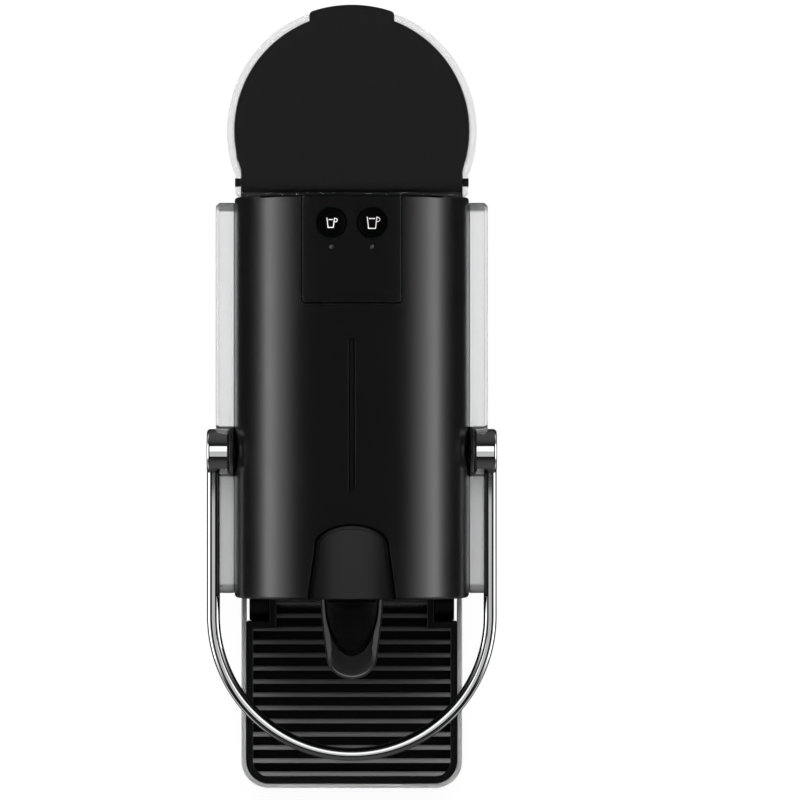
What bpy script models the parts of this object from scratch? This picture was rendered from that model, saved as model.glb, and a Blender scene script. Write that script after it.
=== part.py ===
"""Pod coffee machine: casings, brewing mechanism, water path, tank, cup support and lever.

All sizes in this file are in millimetres, and add_node() turns them into Blender's metres.
+Z is up, +X is to the right of someone who faces the machine, and the front faces -Y.
Z = 0 is the surface that the machine stands on and X = 0 is its plane of symmetry.
Pieces that meet keep a gap of about 0.3 mm, and moving pieces have their origin on their joint's axis.
"""
import math

import bmesh
import bpy
from mathutils import Matrix, Vector

MM = 0.001
GAP = 0.3
LEFT, RIGHT = -1, 1

# Head: a half cylinder on straight sides
HEAD_RADIUS = 47.7
HEAD_TOP = 235.0
HEAD_AXIS_Z = HEAD_TOP - HEAD_RADIUS
HEAD_BOTTOM = 138.0
BODY_FRONT = -76.5
BODY_BACK = 86.2
SHELL_WALL = 2.2
INNER_RADIUS = HEAD_RADIUS - SHELL_WALL

# Capsule slot in the head's top: straight flared sides and a round back
SLOT_FRONT_HALF = 18.1
SLOT_BACK_HALF = 15.1
SLOT_ARCH_Y = -54.8
SLOT_BACK_Y = -45.8
DOOR_HALF = 19.6
DOOR_RADIUS = INNER_RADIUS - 0.4
DOOR_WALL = 1.8
DOOR_BACK_Y = -43.5

# Groove along the head's top
GROOVE_FRONT_Y = -32.2
GROOVE_BACK_Y = 28.6
GROOVE_WIDTH = 2.6
GROOVE_DEPTH = 1.1

# Control panel, buttons and lights
KEYPAD_HALF = 19.9
KEYPAD_FRONT_Y = 42.9
KEYPAD_WALL = 1.8
BUTTON_X = 8.2
BUTTON_Y = 74.9
BUTTON_RADIUS = 6.05
LIGHT_Y = 65.2
LIGHT_RADIUS = 1.0
BOARD_Z = 214.0

# Lower body
BASE_BOTTOM = 2.6
BASE_TOP = 5.4
FRAME_IN = 45.0
FRAME_OUT = 47.4
FRAME_FRONT = -74.3
FRAME_BACK = 83.6

# Side panels: shallow metal trays with a notch round the lever's pivot
PANEL_IN = 48.0
PANEL_OUT = 55.5
PANEL_FRONT = -75.0
PANEL_BACK = 84.4
PANEL_BOTTOM = 14.0
PANEL_TOP = 183.7
PANEL_CORNER = 4.5
PANEL_WALL = 1.5
PANEL_NOTCH_RADIUS = 10.8

# Lever: a flat loop with a barrel at each end
PIVOT_Y = -17.1
PIVOT_Z = HEAD_AXIS_Z
LEVER_OUT = 59.0
LEVER_IN = 53.7
LEVER_BEND_Y = -84.1
LEVER_HEIGHT = 6.4
LEVER_STEPS = 36
BARREL_RADIUS = 9.15
BARREL_IN = 50.0
SHAFT_RADIUS = 4.0
BUSH_RADIUS = 10.0
BUSH_BORE = 4.3

# Toggle drive between the lever and the injector cage
CRANK_REACH = 19.5
LINK_LENGTH = 24.0
LINK_IN, LINK_OUT = 30.0, 33.2
CRANK_IN, CRANK_OUT = 33.5, 36.5
CAGE_FRONT_Y = -66.8
CAGE_BACK_Y = -36.0
CAGE_RADIUS = 19.0
CAGE_BORE = 16.2

# Coffee outlet under the head
OUTLET_HALF_BACK = 13.0
OUTLET_HALF_FRONT = 10.5
OUTLET_BEND_Y = -101.5
OUTLET_TIP_Y = -110.9
OUTLET_BOTTOM = 141.0
OUTLET_TOP = 172.0
TONGUE_HALF = 10.6

# Used-capsule container, drip tray and folding cup support
BIN_HALF = 44.4
BIN_BACK_Y = -8.0
BIN_BOTTOM, BIN_TOP = 24.0, 132.0
TRAY_HALF = 43.5
TRAY_FRONT_Y = -150.0
TRAY_BACK_Y = -6.0
HINGE_Y, HINGE_Z = -84.0, 42.0
HINGE_BLOCK_IN, HINGE_BLOCK_OUT = 35.5, 43.9
HINGE_BLOCK_RADIUS = 6.8
RIM_HALF = 47.3
RIM_WALL = 2.0
RIM_FRONT_Y = -162.6
RIM_BACK_Y = -79.5
RIM_CORNER = 12.0
RIM_BOTTOM, RIM_TOP = 30.5, 50.0
CUP_TRAY_HALF = 45.0
GRID_HALF = 44.9
GRID_BAR = 2.1
SLAT_COUNT = 14
SLAT_PITCH = 5.655
SLAT_FRONT_Y = -156.45
SLAT_WIDTH = 1.9

# Water tank and lid
TANK_Y = 112.15
TANK_RADIUS = 50.25
TANK_HALF = 47.0
TANK_FRONT_Y = 86.7
TANK_WALL = 2.3
TANK_BOTTOM = 60.3
TANK_FLOOR = 62.8
TANK_LEDGE = 213.6
TANK_RIM = 219.0
LID_RADIUS = 47.3
LID_HALF = 44.3
LID_TOP = 222.0
LID_WALL = 2.2
LID_TAB_HALF = 17.1
LID_TAB_Y = 162.8
LID_BARREL_RADIUS = 4.05
LID_HINGE_Y = 91.4
LID_HINGE_Z = LID_TOP - LID_BARREL_RADIUS
PLINTH_RADIUS = 48.5
PLINTH_TOP = 60.0
VALVE_Y = 130.0

ROUND = 28          # sides of a round piece
FINE_ROUND = 40     # segments in the large half circles

COLOURS = {
    "black_gloss": ((0.012, 0.012, 0.013), 0.28, 0.0),
    "black_matte": ((0.016, 0.016, 0.017), 0.55, 0.0),
    "deep_black": ((0.004, 0.004, 0.004), 0.2, 0.0),
    "aluminium": ((0.72, 0.73, 0.74), 0.38, 1.0),
    "chrome": ((0.83, 0.84, 0.86), 0.06, 1.0),
    "steel": ((0.55, 0.56, 0.58), 0.3, 1.0),
    "silver_paint": ((0.33, 0.335, 0.34), 0.4, 0.4),
    "clear_plastic": ((0.86, 0.9, 0.92), 0.05, 0.0),
    "light_pipe": ((0.3, 0.3, 0.3), 0.3, 0.0),
    "rubber": ((0.02, 0.02, 0.02), 0.85, 0.0),
    "silicone": ((0.75, 0.76, 0.74), 0.5, 0.0),
    "grey_plastic": ((0.22, 0.22, 0.23), 0.5, 0.0),
    "white_plastic": ((0.75, 0.75, 0.73), 0.5, 0.0),
    "circuit_green": ((0.02, 0.13, 0.05), 0.5, 0.0),
}


# ---------------------------------------------------------------- scene and materials

def clear_scene():
    for item in list(bpy.data.objects):
        bpy.data.objects.remove(item, do_unlink=True)


def finish_material(finish):
    """One Principled material for each finish, made the first time it is asked for."""
    found = bpy.data.materials.get(finish)
    if found:
        return found
    colour, roughness, metallic = COLOURS[finish]
    made = bpy.data.materials.new(finish)
    made.use_nodes = True
    shader = made.node_tree.nodes["Principled BSDF"]
    shader.inputs["Base Color"].default_value = (*colour, 1.0)
    shader.inputs["Roughness"].default_value = roughness
    shader.inputs["Metallic"].default_value = metallic
    return made


def add_node(name, mesh, finish=None, origin=(0.0, 0.0, 0.0)):
    """Turn a bmesh in millimetres into an object in metres whose origin is the given point."""
    centre = Vector(origin)
    bmesh.ops.translate(mesh, verts=mesh.verts, vec=-centre)
    bmesh.ops.scale(mesh, verts=mesh.verts, vec=(MM, MM, MM))
    bmesh.ops.recalc_face_normals(mesh, faces=mesh.faces)
    data = bpy.data.meshes.new(name)
    mesh.to_mesh(data)
    mesh.free()
    data.shade_smooth()
    data.set_sharp_from_angle(angle=math.radians(35))
    node = bpy.data.objects.new(name, data)
    node.location = centre * MM
    bpy.context.scene.collection.objects.link(node)
    if finish:
        data.materials.append(finish_material(finish))
    return node


def combine(node, mesh, operation):
    """Cut a mesh out of a node, or join it on, with an exact Boolean whose tool is a hidden guide."""
    tool = add_node(f"{node.name}_{operation.lower()}_{len(node.modifiers)}", mesh)
    tool.hide_render = True
    tool.display_type = "WIRE"
    modifier = node.modifiers.new(operation.title(), "BOOLEAN")
    modifier.operation = operation
    modifier.solver = "EXACT"
    modifier.object = tool


def cut(node, *meshes):
    for mesh in meshes:
        combine(node, mesh, "DIFFERENCE")


def unite(node, *meshes):
    for mesh in meshes:
        combine(node, mesh, "UNION")


# ---------------------------------------------------------------- outlines and solids

def arc(centre_a, centre_b, radius, start, end, steps, radius_b=None):
    """Points along an arc or a quarter of an ellipse, angles in degrees."""
    second = radius if radius_b is None else radius_b
    points = []
    for step in range(steps + 1):
        angle = math.radians(start + (end - start) * step / steps)
        points.append((centre_a + radius * math.cos(angle), centre_b + second * math.sin(angle)))
    return points


def rounded_rectangle(low_a, high_a, low_b, high_b, radius, steps=5):
    points = arc(high_a - radius, high_b - radius, radius, 0, 90, steps)
    points += arc(low_a + radius, high_b - radius, radius, 90, 180, steps)
    points += arc(low_a + radius, low_b + radius, radius, 180, 270, steps)
    points += arc(high_a - radius, low_b + radius, radius, 270, 360, steps)
    return points


def in_space(point, plane, height):
    """Place an outline's point in space: plane names its two axes, and height is along the third."""
    first, second = point
    if plane == "XY":
        return Vector((first, second, height))
    if plane == "XZ":
        return Vector((first, height, second))
    return Vector((height, first, second))


def skin(rings, closed=False):
    """A solid through rings of equally many points, capped at both ends, or closed on itself."""
    mesh = bmesh.new()
    layers = [[mesh.verts.new(point) for point in ring] for ring in rings]
    count = len(layers[0])
    pairs = list(zip(layers, layers[1:]))
    if closed:
        pairs.append((layers[-1], layers[0]))
    for lower, upper in pairs:
        for index in range(count):
            following = (index + 1) % count
            mesh.faces.new((lower[index], lower[following], upper[following], upper[index]))
    if not closed:
        mesh.faces.new(layers[0][::-1])
        mesh.faces.new(layers[-1])
    return mesh


def prism(outline, plane, low, high):
    return skin([[in_space(point, plane, height) for point in outline] for height in (low, high)])


def box(low, high):
    outline = [(low[0], low[1]), (high[0], low[1]), (high[0], high[1]), (low[0], high[1])]
    return prism(outline, "XY", low[2], high[2])


def offset(outline, distance):
    """Move a closed counter-clockwise outline inwards, each corner along its own mitre."""
    moved = []
    count = len(outline)
    for index, (a, b) in enumerate(outline):
        before = Vector(outline[index - 1])
        here = Vector((a, b))
        after = Vector(outline[(index + 1) % count])
        first = (here - before).normalized()
        second = (after - here).normalized()
        normal = Vector((-first.y - second.y, first.x + second.x)).normalized()
        stretch = max(0.4, normal.dot(Vector((-first.y, first.x))))
        moved.append(tuple(here + normal * (distance / stretch)))
    return moved


def cup(outline, plane, wall, outer_height, floor_height, mouth_height):
    """A tray or cup: its floor lies between outer_height and floor_height, its mouth at mouth_height."""
    inner = offset(outline, wall)
    return skin([[in_space(point, plane, outer_height) for point in outline],
                 [in_space(point, plane, mouth_height) for point in outline],
                 [in_space(point, plane, mouth_height) for point in inner],
                 [in_space(point, plane, floor_height) for point in inner]])


def band(outer, inner, plane, low, high):
    """A strip between two open outlines with equally many points, extruded from low to high."""
    mesh = bmesh.new()
    corners = [[mesh.verts.new(in_space(point, plane, height)) for point in outline]
               for outline, height in ((outer, low), (outer, high), (inner, high), (inner, low))]
    for index in range(len(outer) - 1):
        for first, second in zip(corners, corners[1:] + corners[:1]):
            mesh.faces.new((first[index], first[index + 1], second[index + 1], second[index]))
    for end in (0, -1):
        mesh.faces.new([side[end] for side in corners])
    return mesh


def turned(profile, axis, centre, segments=ROUND):
    """Turn a profile of (radius, distance along the axis) about X, Y or Z through centre."""
    rings = []
    for radius, along in profile:
        outline = arc(0.0, 0.0, radius, 0, 360, segments)[:-1]
        plane = {"X": "YZ", "Y": "XZ", "Z": "XY"}[axis]
        rings.append([in_space(point, plane, along) + Vector(centre) for point in outline])
    return skin(rings)


def rod(axis, centre, radius, low, high, segments=ROUND):
    return turned([(radius, low), (radius, high)], axis, centre, segments)


def ring(axis, centre, bore, radius, low, high, segments=ROUND):
    """A tube: closed on itself round its wall, so that it has no caps."""
    mesh = bmesh.new()
    plane = {"X": "YZ", "Y": "XZ", "Z": "XY"}[axis]
    loops = []
    for size, along in ((bore, low), (radius, low), (radius, high), (bore, high)):
        outline = arc(0.0, 0.0, size, 0, 360, segments)[:-1]
        loops.append([mesh.verts.new(in_space(point, plane, along) + Vector(centre)) for point in outline])
    for first, second in zip(loops, loops[1:] + loops[:1]):
        for index in range(segments):
            following = (index + 1) % segments
            mesh.faces.new((first[index], first[following], second[following], second[index]))
    return mesh


def tilt_about_head_axis(mesh, degrees):
    """Swing a mesh about the head's own axis, so that it stands square on the curved top."""
    centre = Vector((0.0, 0.0, HEAD_AXIS_Z))
    turn = Matrix.Rotation(math.radians(degrees), 3, "Y")
    bmesh.ops.rotate(mesh, verts=mesh.verts, cent=centre, matrix=turn)
    return mesh


def side_range(side, inner, outer):
    """The lower and the higher X of a piece on one side of the machine."""
    return (inner, outer) if side == RIGHT else (-outer, -inner)


# ---------------------------------------------------------------- casings

def arch_outline(radius, bottom, centre_z=HEAD_AXIS_Z):
    return [(radius, bottom)] + arc(0.0, centre_z, radius, 0, 180, FINE_ROUND) + [(-radius, bottom)]


def slot_outline(margin=0.0):
    """Plan of the capsule slot, open past the front edge of the head."""
    flare = (SLOT_FRONT_HALF - SLOT_BACK_HALF) / (SLOT_ARCH_Y - BODY_FRONT)
    front_y = BODY_FRONT - 2.0
    front_half = SLOT_FRONT_HALF + margin + 2.0 * flare
    points = arc(0.0, SLOT_ARCH_Y, SLOT_BACK_HALF + margin, 0, 180, 24, SLOT_BACK_Y - SLOT_ARCH_Y + margin)
    return [(front_half, front_y)] + points + [(-front_half, front_y)]


def make_top_shell():
    shell = add_node("top_shell", band(arch_outline(HEAD_RADIUS, HEAD_BOTTOM),
                                       arch_outline(INNER_RADIUS, HEAD_BOTTOM),
                                       "XZ", BODY_FRONT, BODY_BACK), "black_gloss")
    cut(shell, prism(slot_outline(), "XY", 200.0, 240.0))
    keypad = rounded_rectangle(-KEYPAD_HALF - GAP, KEYPAD_HALF + GAP,
                               KEYPAD_FRONT_Y - GAP, BODY_BACK + 5.0, 1.2, 3)
    cut(shell, prism(keypad, "XY", 200.0, 240.0))
    half = GROOVE_WIDTH / 2
    groove = arc(0.0, GROOVE_BACK_Y - half, half, 0, 180, 8) + arc(0.0, GROOVE_FRONT_Y + half, half, 180, 360, 8)
    cut(shell, prism(groove, "XY", HEAD_TOP - GROOVE_DEPTH, HEAD_TOP + 2.0))
    cut(shell, rod("X", (0.0, PIVOT_Y, PIVOT_Z), 5.3, -60.0, 60.0, 24))


def make_head_front():
    """The flat front of the head, inside the shell and under the capsule door."""
    plate = add_node("head_front", prism(arch_outline(INNER_RADIUS - GAP, HEAD_BOTTOM + GAP), "XZ", -76.2, -74.2),
                     "black_gloss")
    door_room = math.sqrt((DOOR_RADIUS - DOOR_WALL) ** 2 - DOOR_HALF ** 2)
    cut(plate, box((-DOOR_HALF - 0.6, -80.0, HEAD_AXIS_Z + door_room - 0.6), (DOOR_HALF + 0.6, -70.0, 240.0)))


def make_head_floor():
    """Closes the head from below; spent capsules drop through its square hole."""
    half = INNER_RADIUS - GAP
    plate = add_node("head_floor", box((-half, -73.9, HEAD_BOTTOM + GAP), (half, FRAME_BACK, HEAD_BOTTOM + 2.5)),
                     "black_matte")
    cut(plate, box((-23.0, -66.0, 130.0), (23.0, -22.0, 150.0)), rod("Z", (30.0, 70.0, 0.0), 6.0, 130.0, 150.0, 16))


def make_rear_cover():
    outline = arch_outline(INNER_RADIUS - GAP, PLINTH_TOP + 0.5)
    add_node("rear_cover", prism(outline, "XZ", FRAME_BACK + GAP, BODY_BACK - GAP), "black_matte")


def make_side_frame(side):
    """A side wall of the lower body, with two screw bosses at its foot."""
    name = "frame_left" if side == LEFT else "frame_right"
    low, high = side_range(side, FRAME_IN, FRAME_OUT)
    wall = add_node(name, box((low, FRAME_FRONT, BASE_TOP + GAP), (high, FRAME_BACK, HEAD_BOTTOM - GAP)), "black_matte")
    for boss_y in (10.0, 70.0):
        low, high = side_range(side, 36.5, FRAME_IN + 0.8)
        unite(wall, box((low, boss_y - 4.5, BASE_TOP + GAP), (high, boss_y + 4.5, 16.0)))
    for boss_y in (10.0, 70.0):
        cut(wall, rod("Z", (side * 41.0, boss_y, 0.0), 1.8, 0.0, 13.0, 12))


def base_outline():
    """Plan of the base plate: round behind, straight along the body, narrower under the drip tray."""
    start = math.degrees(math.asin((PLINTH_RADIUS ** 2 - FRAME_OUT ** 2) ** 0.5 / PLINTH_RADIUS))
    rear = arc(0.0, TANK_Y, PLINTH_RADIUS, -start, 180 + start, 40)
    front = [(-FRAME_OUT, FRAME_FRONT), (-38.0, FRAME_FRONT), (-38.0, -140.0), (-30.0, -148.0),
             (30.0, -148.0), (38.0, -140.0), (38.0, FRAME_FRONT), (FRAME_OUT, FRAME_FRONT)]
    return rear + front


def make_base():
    plate = add_node("base_plate", prism(base_outline(), "XY", BASE_BOTTOM, BASE_TOP), "black_matte")
    for side in (LEFT, RIGHT):
        for screw_y in (10.0, 70.0):
            cut(plate, rod("Z", (side * 41.0, screw_y, 0.0), 1.8, 0.0, 10.0, 12))
    profile = [(2.9, 1.0), (3.0, BASE_BOTTOM - GAP), (1.5, BASE_BOTTOM - GAP), (1.5, 12.0)]
    for side, side_name in ((LEFT, "left"), (RIGHT, "right")):
        for screw_y, place in ((10.0, "front"), (70.0, "rear")):
            add_node(f"base_screw_{place}_{side_name}", turned(profile, "Z", (side * 41.0, screw_y, 0.0), 12), "steel")
        for foot_y, foot_x, place in ((-136.0, 29.0, "front"), (132.0, 29.0, "rear")):
            foot = turned([(6.4, 0.0), (7.0, 0.6), (7.0, BASE_BOTTOM - GAP)], "Z", (side * foot_x, foot_y, 0.0), 24)
            add_node(f"foot_{place}_{side_name}", foot, "rubber")


def make_plinth():
    """The hollow housing that carries the water tank, open at the bottom."""
    start = math.degrees(math.asin((PLINTH_RADIUS ** 2 - FRAME_OUT ** 2) ** 0.5 / PLINTH_RADIUS))
    front_y = FRAME_BACK + GAP
    outline = arc(0.0, TANK_Y, PLINTH_RADIUS, -start, 180 + start, 40) + [(-FRAME_OUT, front_y), (FRAME_OUT, front_y)]
    plinth = add_node("tank_plinth", cup(outline, "XY", 2.2, PLINTH_TOP, PLINTH_TOP - 2.2, BASE_TOP + GAP), "black_matte")
    cut(plinth, rod("Z", (0.0, VALVE_Y, 0.0), 7.3, 50.0, 70.0, 24), rod("X", (0.0, TANK_Y, 22.0), 5.3, -60.0, -40.0, 20),
        box((-22.0, 80.0, 12.0), (-6.0, 88.0, 48.0)))
    gland = ring("X", (0.0, TANK_Y, 22.0), 3.4, 5.0, -49.9, -43.0, 20)
    add_node("cord_gland", gland, "rubber")
    coupling = turned([(4.5, 50.0), (4.5, 59.7), (7.0, 59.7), (7.0, 47.0), (2.4, 47.0), (2.4, 40.0), (1.4, 40.0),
                       (1.4, 48.5)], "Z", (0.0, VALVE_Y, 0.0), 20)
    add_node("valve_coupling", coupling, "grey_plastic")


def panel_outline():
    """Side view of a side panel, counter-clockwise in Y and Z, with the notch round the pivot."""
    drop = PIVOT_Z - PANEL_TOP
    start = math.degrees(math.asin(drop / PANEL_NOTCH_RADIUS))
    corner = PANEL_CORNER
    points = arc(PANEL_BACK - corner, PANEL_TOP - corner, corner, 0, 90, 5)
    points += arc(PIVOT_Y, PIVOT_Z, PANEL_NOTCH_RADIUS, -start, start - 180, 18)
    points += arc(PANEL_FRONT + corner, PANEL_TOP - corner, corner, 90, 180, 5)
    points += arc(PANEL_FRONT + corner, PANEL_BOTTOM + corner, corner, 180, 270, 5)
    points += arc(PANEL_BACK - corner, PANEL_BOTTOM + corner, corner, 270, 360, 5)
    return points


def make_side_panel(side):
    name = "panel_left" if side == LEFT else "panel_right"
    mesh = cup(panel_outline(), "YZ", PANEL_WALL, side * PANEL_OUT, side * (PANEL_OUT - PANEL_WALL), side * PANEL_IN)
    add_node(name, mesh, "aluminium")


# ---------------------------------------------------------------- control panel

def curved_plate(radius, wall, half, front_y, back_y, steps):
    """A piece of the head's curve, as wide as half on each side of the middle."""
    reach = math.degrees(math.asin(half / radius))
    outer = arc(0.0, HEAD_AXIS_Z, radius, 90 - reach, 90 + reach, steps)
    inner = arc(0.0, HEAD_AXIS_Z, radius - wall, 90 - reach, 90 + reach, steps)
    return band(outer, inner, "XZ", front_y, back_y)


def button_tilt(side):
    return side * math.degrees(math.asin(BUTTON_X / HEAD_RADIUS))


def make_controls():
    keypad = add_node("control_panel", curved_plate(HEAD_RADIUS, KEYPAD_WALL, KEYPAD_HALF, KEYPAD_FRONT_Y,
                                                    BODY_BACK - 0.2, 20), "black_gloss")
    for side in (LEFT, RIGHT):
        top = (0.0, BUTTON_Y, HEAD_AXIS_Z)
        hole = rod("Z", top, BUTTON_RADIUS + GAP, 30.0, 60.0, 28)
        cut(keypad, tilt_about_head_axis(hole, button_tilt(side)))
        hole = rod("Z", (0.0, LIGHT_Y, HEAD_AXIS_Z), LIGHT_RADIUS + 0.15, 30.0, 60.0, 12)
        cut(keypad, tilt_about_head_axis(hole, button_tilt(side)))
    board = add_node("control_board", box((-30.0, 46.0, BOARD_Z), (30.0, 82.0, BOARD_Z + 1.6)), "circuit_green")
    for side, size, place in ((LEFT, "small", "left"), (RIGHT, "large", "right")):
        make_button(side, size)
        pipe = rod("Z", (0.0, LIGHT_Y, HEAD_AXIS_Z), LIGHT_RADIUS, 30.5, HEAD_RADIUS - 0.05, 12)
        add_node(f"light_{place}", tilt_about_head_axis(pipe, button_tilt(side)), "light_pipe")
        low, high = (3.2, 9.8) if side == RIGHT else (-9.8, -3.2)
        unite(board, box((low, BUTTON_Y - 3.3, BOARD_Z + 0.8), (high, BUTTON_Y + 3.3, 222.0)))


def make_button(side, size):
    """A dished round button with a stem down to its switch."""
    top = HEAD_RADIUS - 0.6
    profile = [(0.6, top - 0.9), (2.6, top - 0.75), (4.4, top - 0.4), (5.5, top), (BUTTON_RADIUS, top - 0.5),
               (BUTTON_RADIUS, 43.0), (2.0, 43.0), (2.0, 38.0)]
    mesh = tilt_about_head_axis(turned(profile, "Z", (0.0, BUTTON_Y, HEAD_AXIS_Z), 28), button_tilt(side))
    tilt = math.radians(button_tilt(side))
    origin = (HEAD_RADIUS * math.sin(tilt), BUTTON_Y, HEAD_AXIS_Z + HEAD_RADIUS * math.cos(tilt))
    add_node(f"button_{size}", mesh, "deep_black", origin)


# ---------------------------------------------------------------- lever and brewing mechanism

def lever_ring(across, centre):
    """One section of the lever's bar: a rounded rectangle across the path."""
    section = rounded_rectangle(-(LEVER_OUT - LEVER_IN) / 2, (LEVER_OUT - LEVER_IN) / 2,
                                -LEVER_HEIGHT / 2, LEVER_HEIGHT / 2, 2.2, 2)
    up = Vector((0.0, 0.0, 1.0))
    return [centre + across * a + up * b for a, b in section]


def make_lever():
    middle = (LEVER_OUT + LEVER_IN) / 2
    rings = [lever_ring(Vector((-1.0, 0.0, 0.0)), Vector((-middle, PIVOT_Y - 3.0, PIVOT_Z)))]
    for a, b in arc(0.0, LEVER_BEND_Y, 1.0, 180, 360, LEVER_STEPS):
        outwards = Vector((a, b - LEVER_BEND_Y, 0.0))
        rings.append(lever_ring(outwards, Vector((0.0, LEVER_BEND_Y, PIVOT_Z)) + outwards * middle))
    rings.append(lever_ring(Vector((1.0, 0.0, 0.0)), Vector((middle, PIVOT_Y - 3.0, PIVOT_Z))))
    pivot = (0.0, PIVOT_Y, PIVOT_Z)
    lever = add_node("lever", skin(rings), "chrome", pivot)
    edge = 1.2
    for side in (LEFT, RIGHT):
        profile = [(BARREL_RADIUS - edge, BARREL_IN), (BARREL_RADIUS, BARREL_IN + edge),
                   (BARREL_RADIUS, LEVER_OUT - edge), (BARREL_RADIUS - edge, LEVER_OUT)]
        unite(lever, turned([(radius, side * along) for radius, along in profile], "X", pivot))
        low, high = side_range(side, BARREL_IN - 5.0, 54.5)
        cut(lever, rod("X", pivot, BUSH_BORE, low, high, 24))


def make_bush(side):
    name = "pivot_bush_left" if side == LEFT else "pivot_bush_right"
    profile = [(BUSH_BORE, 43.6), (5.0, 43.6), (5.0, PANEL_IN), (BUSH_RADIUS, PANEL_IN),
               (BUSH_RADIUS, BARREL_IN - GAP), (BUSH_BORE, BARREL_IN - GAP)]
    rings = []
    for radius, along in profile:
        outline = arc(0.0, 0.0, radius, 0, 360, ROUND)[:-1]
        rings.append([in_space(point, "YZ", side * along) + Vector((0.0, PIVOT_Y, PIVOT_Z)) for point in outline])
    add_node(name, skin(rings, closed=True), "rubber")


def lug_outline(first, second, radius_first, radius_second, steps=10):
    """A bar with round ends between two points along Y, seen from the side."""
    front = arc(first, PIVOT_Z, radius_first, 90, 270, steps)
    back = arc(second, PIVOT_Z, radius_second, -90, 90, steps)
    return front + back


def make_crank(side):
    """Half shaft, crank arm and crank pin, forged as one piece."""
    name = "crank_left" if side == LEFT else "crank_right"
    pivot = (0.0, PIVOT_Y, PIVOT_Z)
    low, high = side_range(side, CRANK_IN, CRANK_OUT)
    arm = prism(lug_outline(PIVOT_Y - CRANK_REACH, PIVOT_Y, 4.5, 6.5), "YZ", low, high)
    crank = add_node(name, arm, "steel", pivot)
    low, high = side_range(side, CRANK_IN + 1.0, 54.0)
    unite(crank, rod("X", pivot, SHAFT_RADIUS, low, high, 24))
    low, high = side_range(side, LINK_IN - 0.1, CRANK_IN + 1.0)
    unite(crank, rod("X", (0.0, PIVOT_Y - CRANK_REACH, PIVOT_Z), 2.0, low, high, 16))


def make_link(side):
    """Toggle link; its front eye swings beside the cage's trunnion, where the closed linkage is opened."""
    name = "link_left" if side == LEFT else "link_right"
    back_y = PIVOT_Y - CRANK_REACH
    low, high = side_range(side, LINK_IN, LINK_OUT)
    bar = prism(lug_outline(back_y - LINK_LENGTH, back_y, 4.5, 4.5), "YZ", low, high)
    link = add_node(name, bar, "steel", (0.0, back_y, PIVOT_Z))
    cut(link, rod("X", (0.0, back_y, PIVOT_Z), 2.3, low - 1.0, high + 1.0, 16),
        rod("X", (0.0, back_y - LINK_LENGTH, PIVOT_Z), 2.3, low - 1.0, high + 1.0, 16))


def make_cage():
    """Injector cage: a cup that closes over the capsule, with a trunnion on each side and a water nipple."""
    centre = (0.0, 0.0, PIVOT_Z)
    profile = [(CAGE_BORE - 1.4, CAGE_BACK_Y - 4.0), (CAGE_BORE, CAGE_FRONT_Y), (CAGE_RADIUS, CAGE_FRONT_Y),
               (CAGE_RADIUS, CAGE_BACK_Y), (4.0, CAGE_BACK_Y), (3.2, CAGE_BACK_Y + 9.0)]
    cage = add_node("injector_cage", turned(profile, "Y", centre), "grey_plastic")
    trunnion_y = PIVOT_Y - CRANK_REACH - LINK_LENGTH
    for side in (LEFT, RIGHT):
        low, high = side_range(side, CAGE_RADIUS - 1.5, LINK_IN - 0.6)
        unite(cage, rod("X", (0.0, trunnion_y, PIVOT_Z), 3.5, low, high, 16))


def make_capsule_door():
    """Curved door under the slot, with a web down to the cage that it travels with."""
    door = add_node("capsule_door", curved_plate(DOOR_RADIUS, DOOR_WALL, DOOR_HALF, -76.2, DOOR_BACK_Y, 18),
                    "black_gloss")
    unite(door, box((-2.5, DOOR_BACK_Y - 3.0, PIVOT_Z + CAGE_RADIUS + GAP),
                    (2.5, DOOR_BACK_Y - 0.5, HEAD_AXIS_Z + DOOR_RADIUS - 1.0)))


def make_brew_frame():
    """Channel that carries the extraction plate, the cranks and the cage."""
    half, inner = 41.0, 38.3
    frame = add_node("brew_frame", box((-half, -73.6, 164.0), (half, 8.0, 203.0)), "grey_plastic")
    cut(frame, box((-inner, -80.0, 167.0), (inner, 12.0, 210.0)), box((-21.5, -67.0, 160.0), (21.5, 0.0, 170.0)),
        rod("X", (0.0, PIVOT_Y, PIVOT_Z), 4.4, -50.0, 50.0, 24))
    plate = prism(rounded_rectangle(-24.0, 24.0, 167.3, 208.0, 6.0, 4), "XZ", -73.6, -68.0)
    add_node("extraction_plate", plate, "steel")


def make_capsule_guide():
    """Chute under the slot: two cheeks and a front wall that steer the capsule down to the cage."""
    guide = add_node("capsule_guide", box((-21.5, -73.6, 208.5), (21.5, -48.0, 223.6)), "grey_plastic")
    cut(guide, box((-19.3, -71.5, 200.0), (19.3, -40.0, 230.0)))


def outlet_outline(scale, height):
    """Plan of the outlet at one height, narrowed towards the head's front by scale."""
    back_y = BODY_FRONT - GAP
    half_back, half_front = OUTLET_HALF_BACK * scale, OUTLET_HALF_FRONT * scale
    bend_y = back_y + (OUTLET_BEND_Y - back_y) * scale
    tip = (OUTLET_BEND_Y - OUTLET_TIP_Y) * scale
    points = arc(0.0, bend_y, half_front, 180, 360, 20, tip)
    outline = [(-half_back, back_y)] + points + [(half_back, back_y)]
    return [in_space(point, "XY", height) for point in outline]


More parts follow.
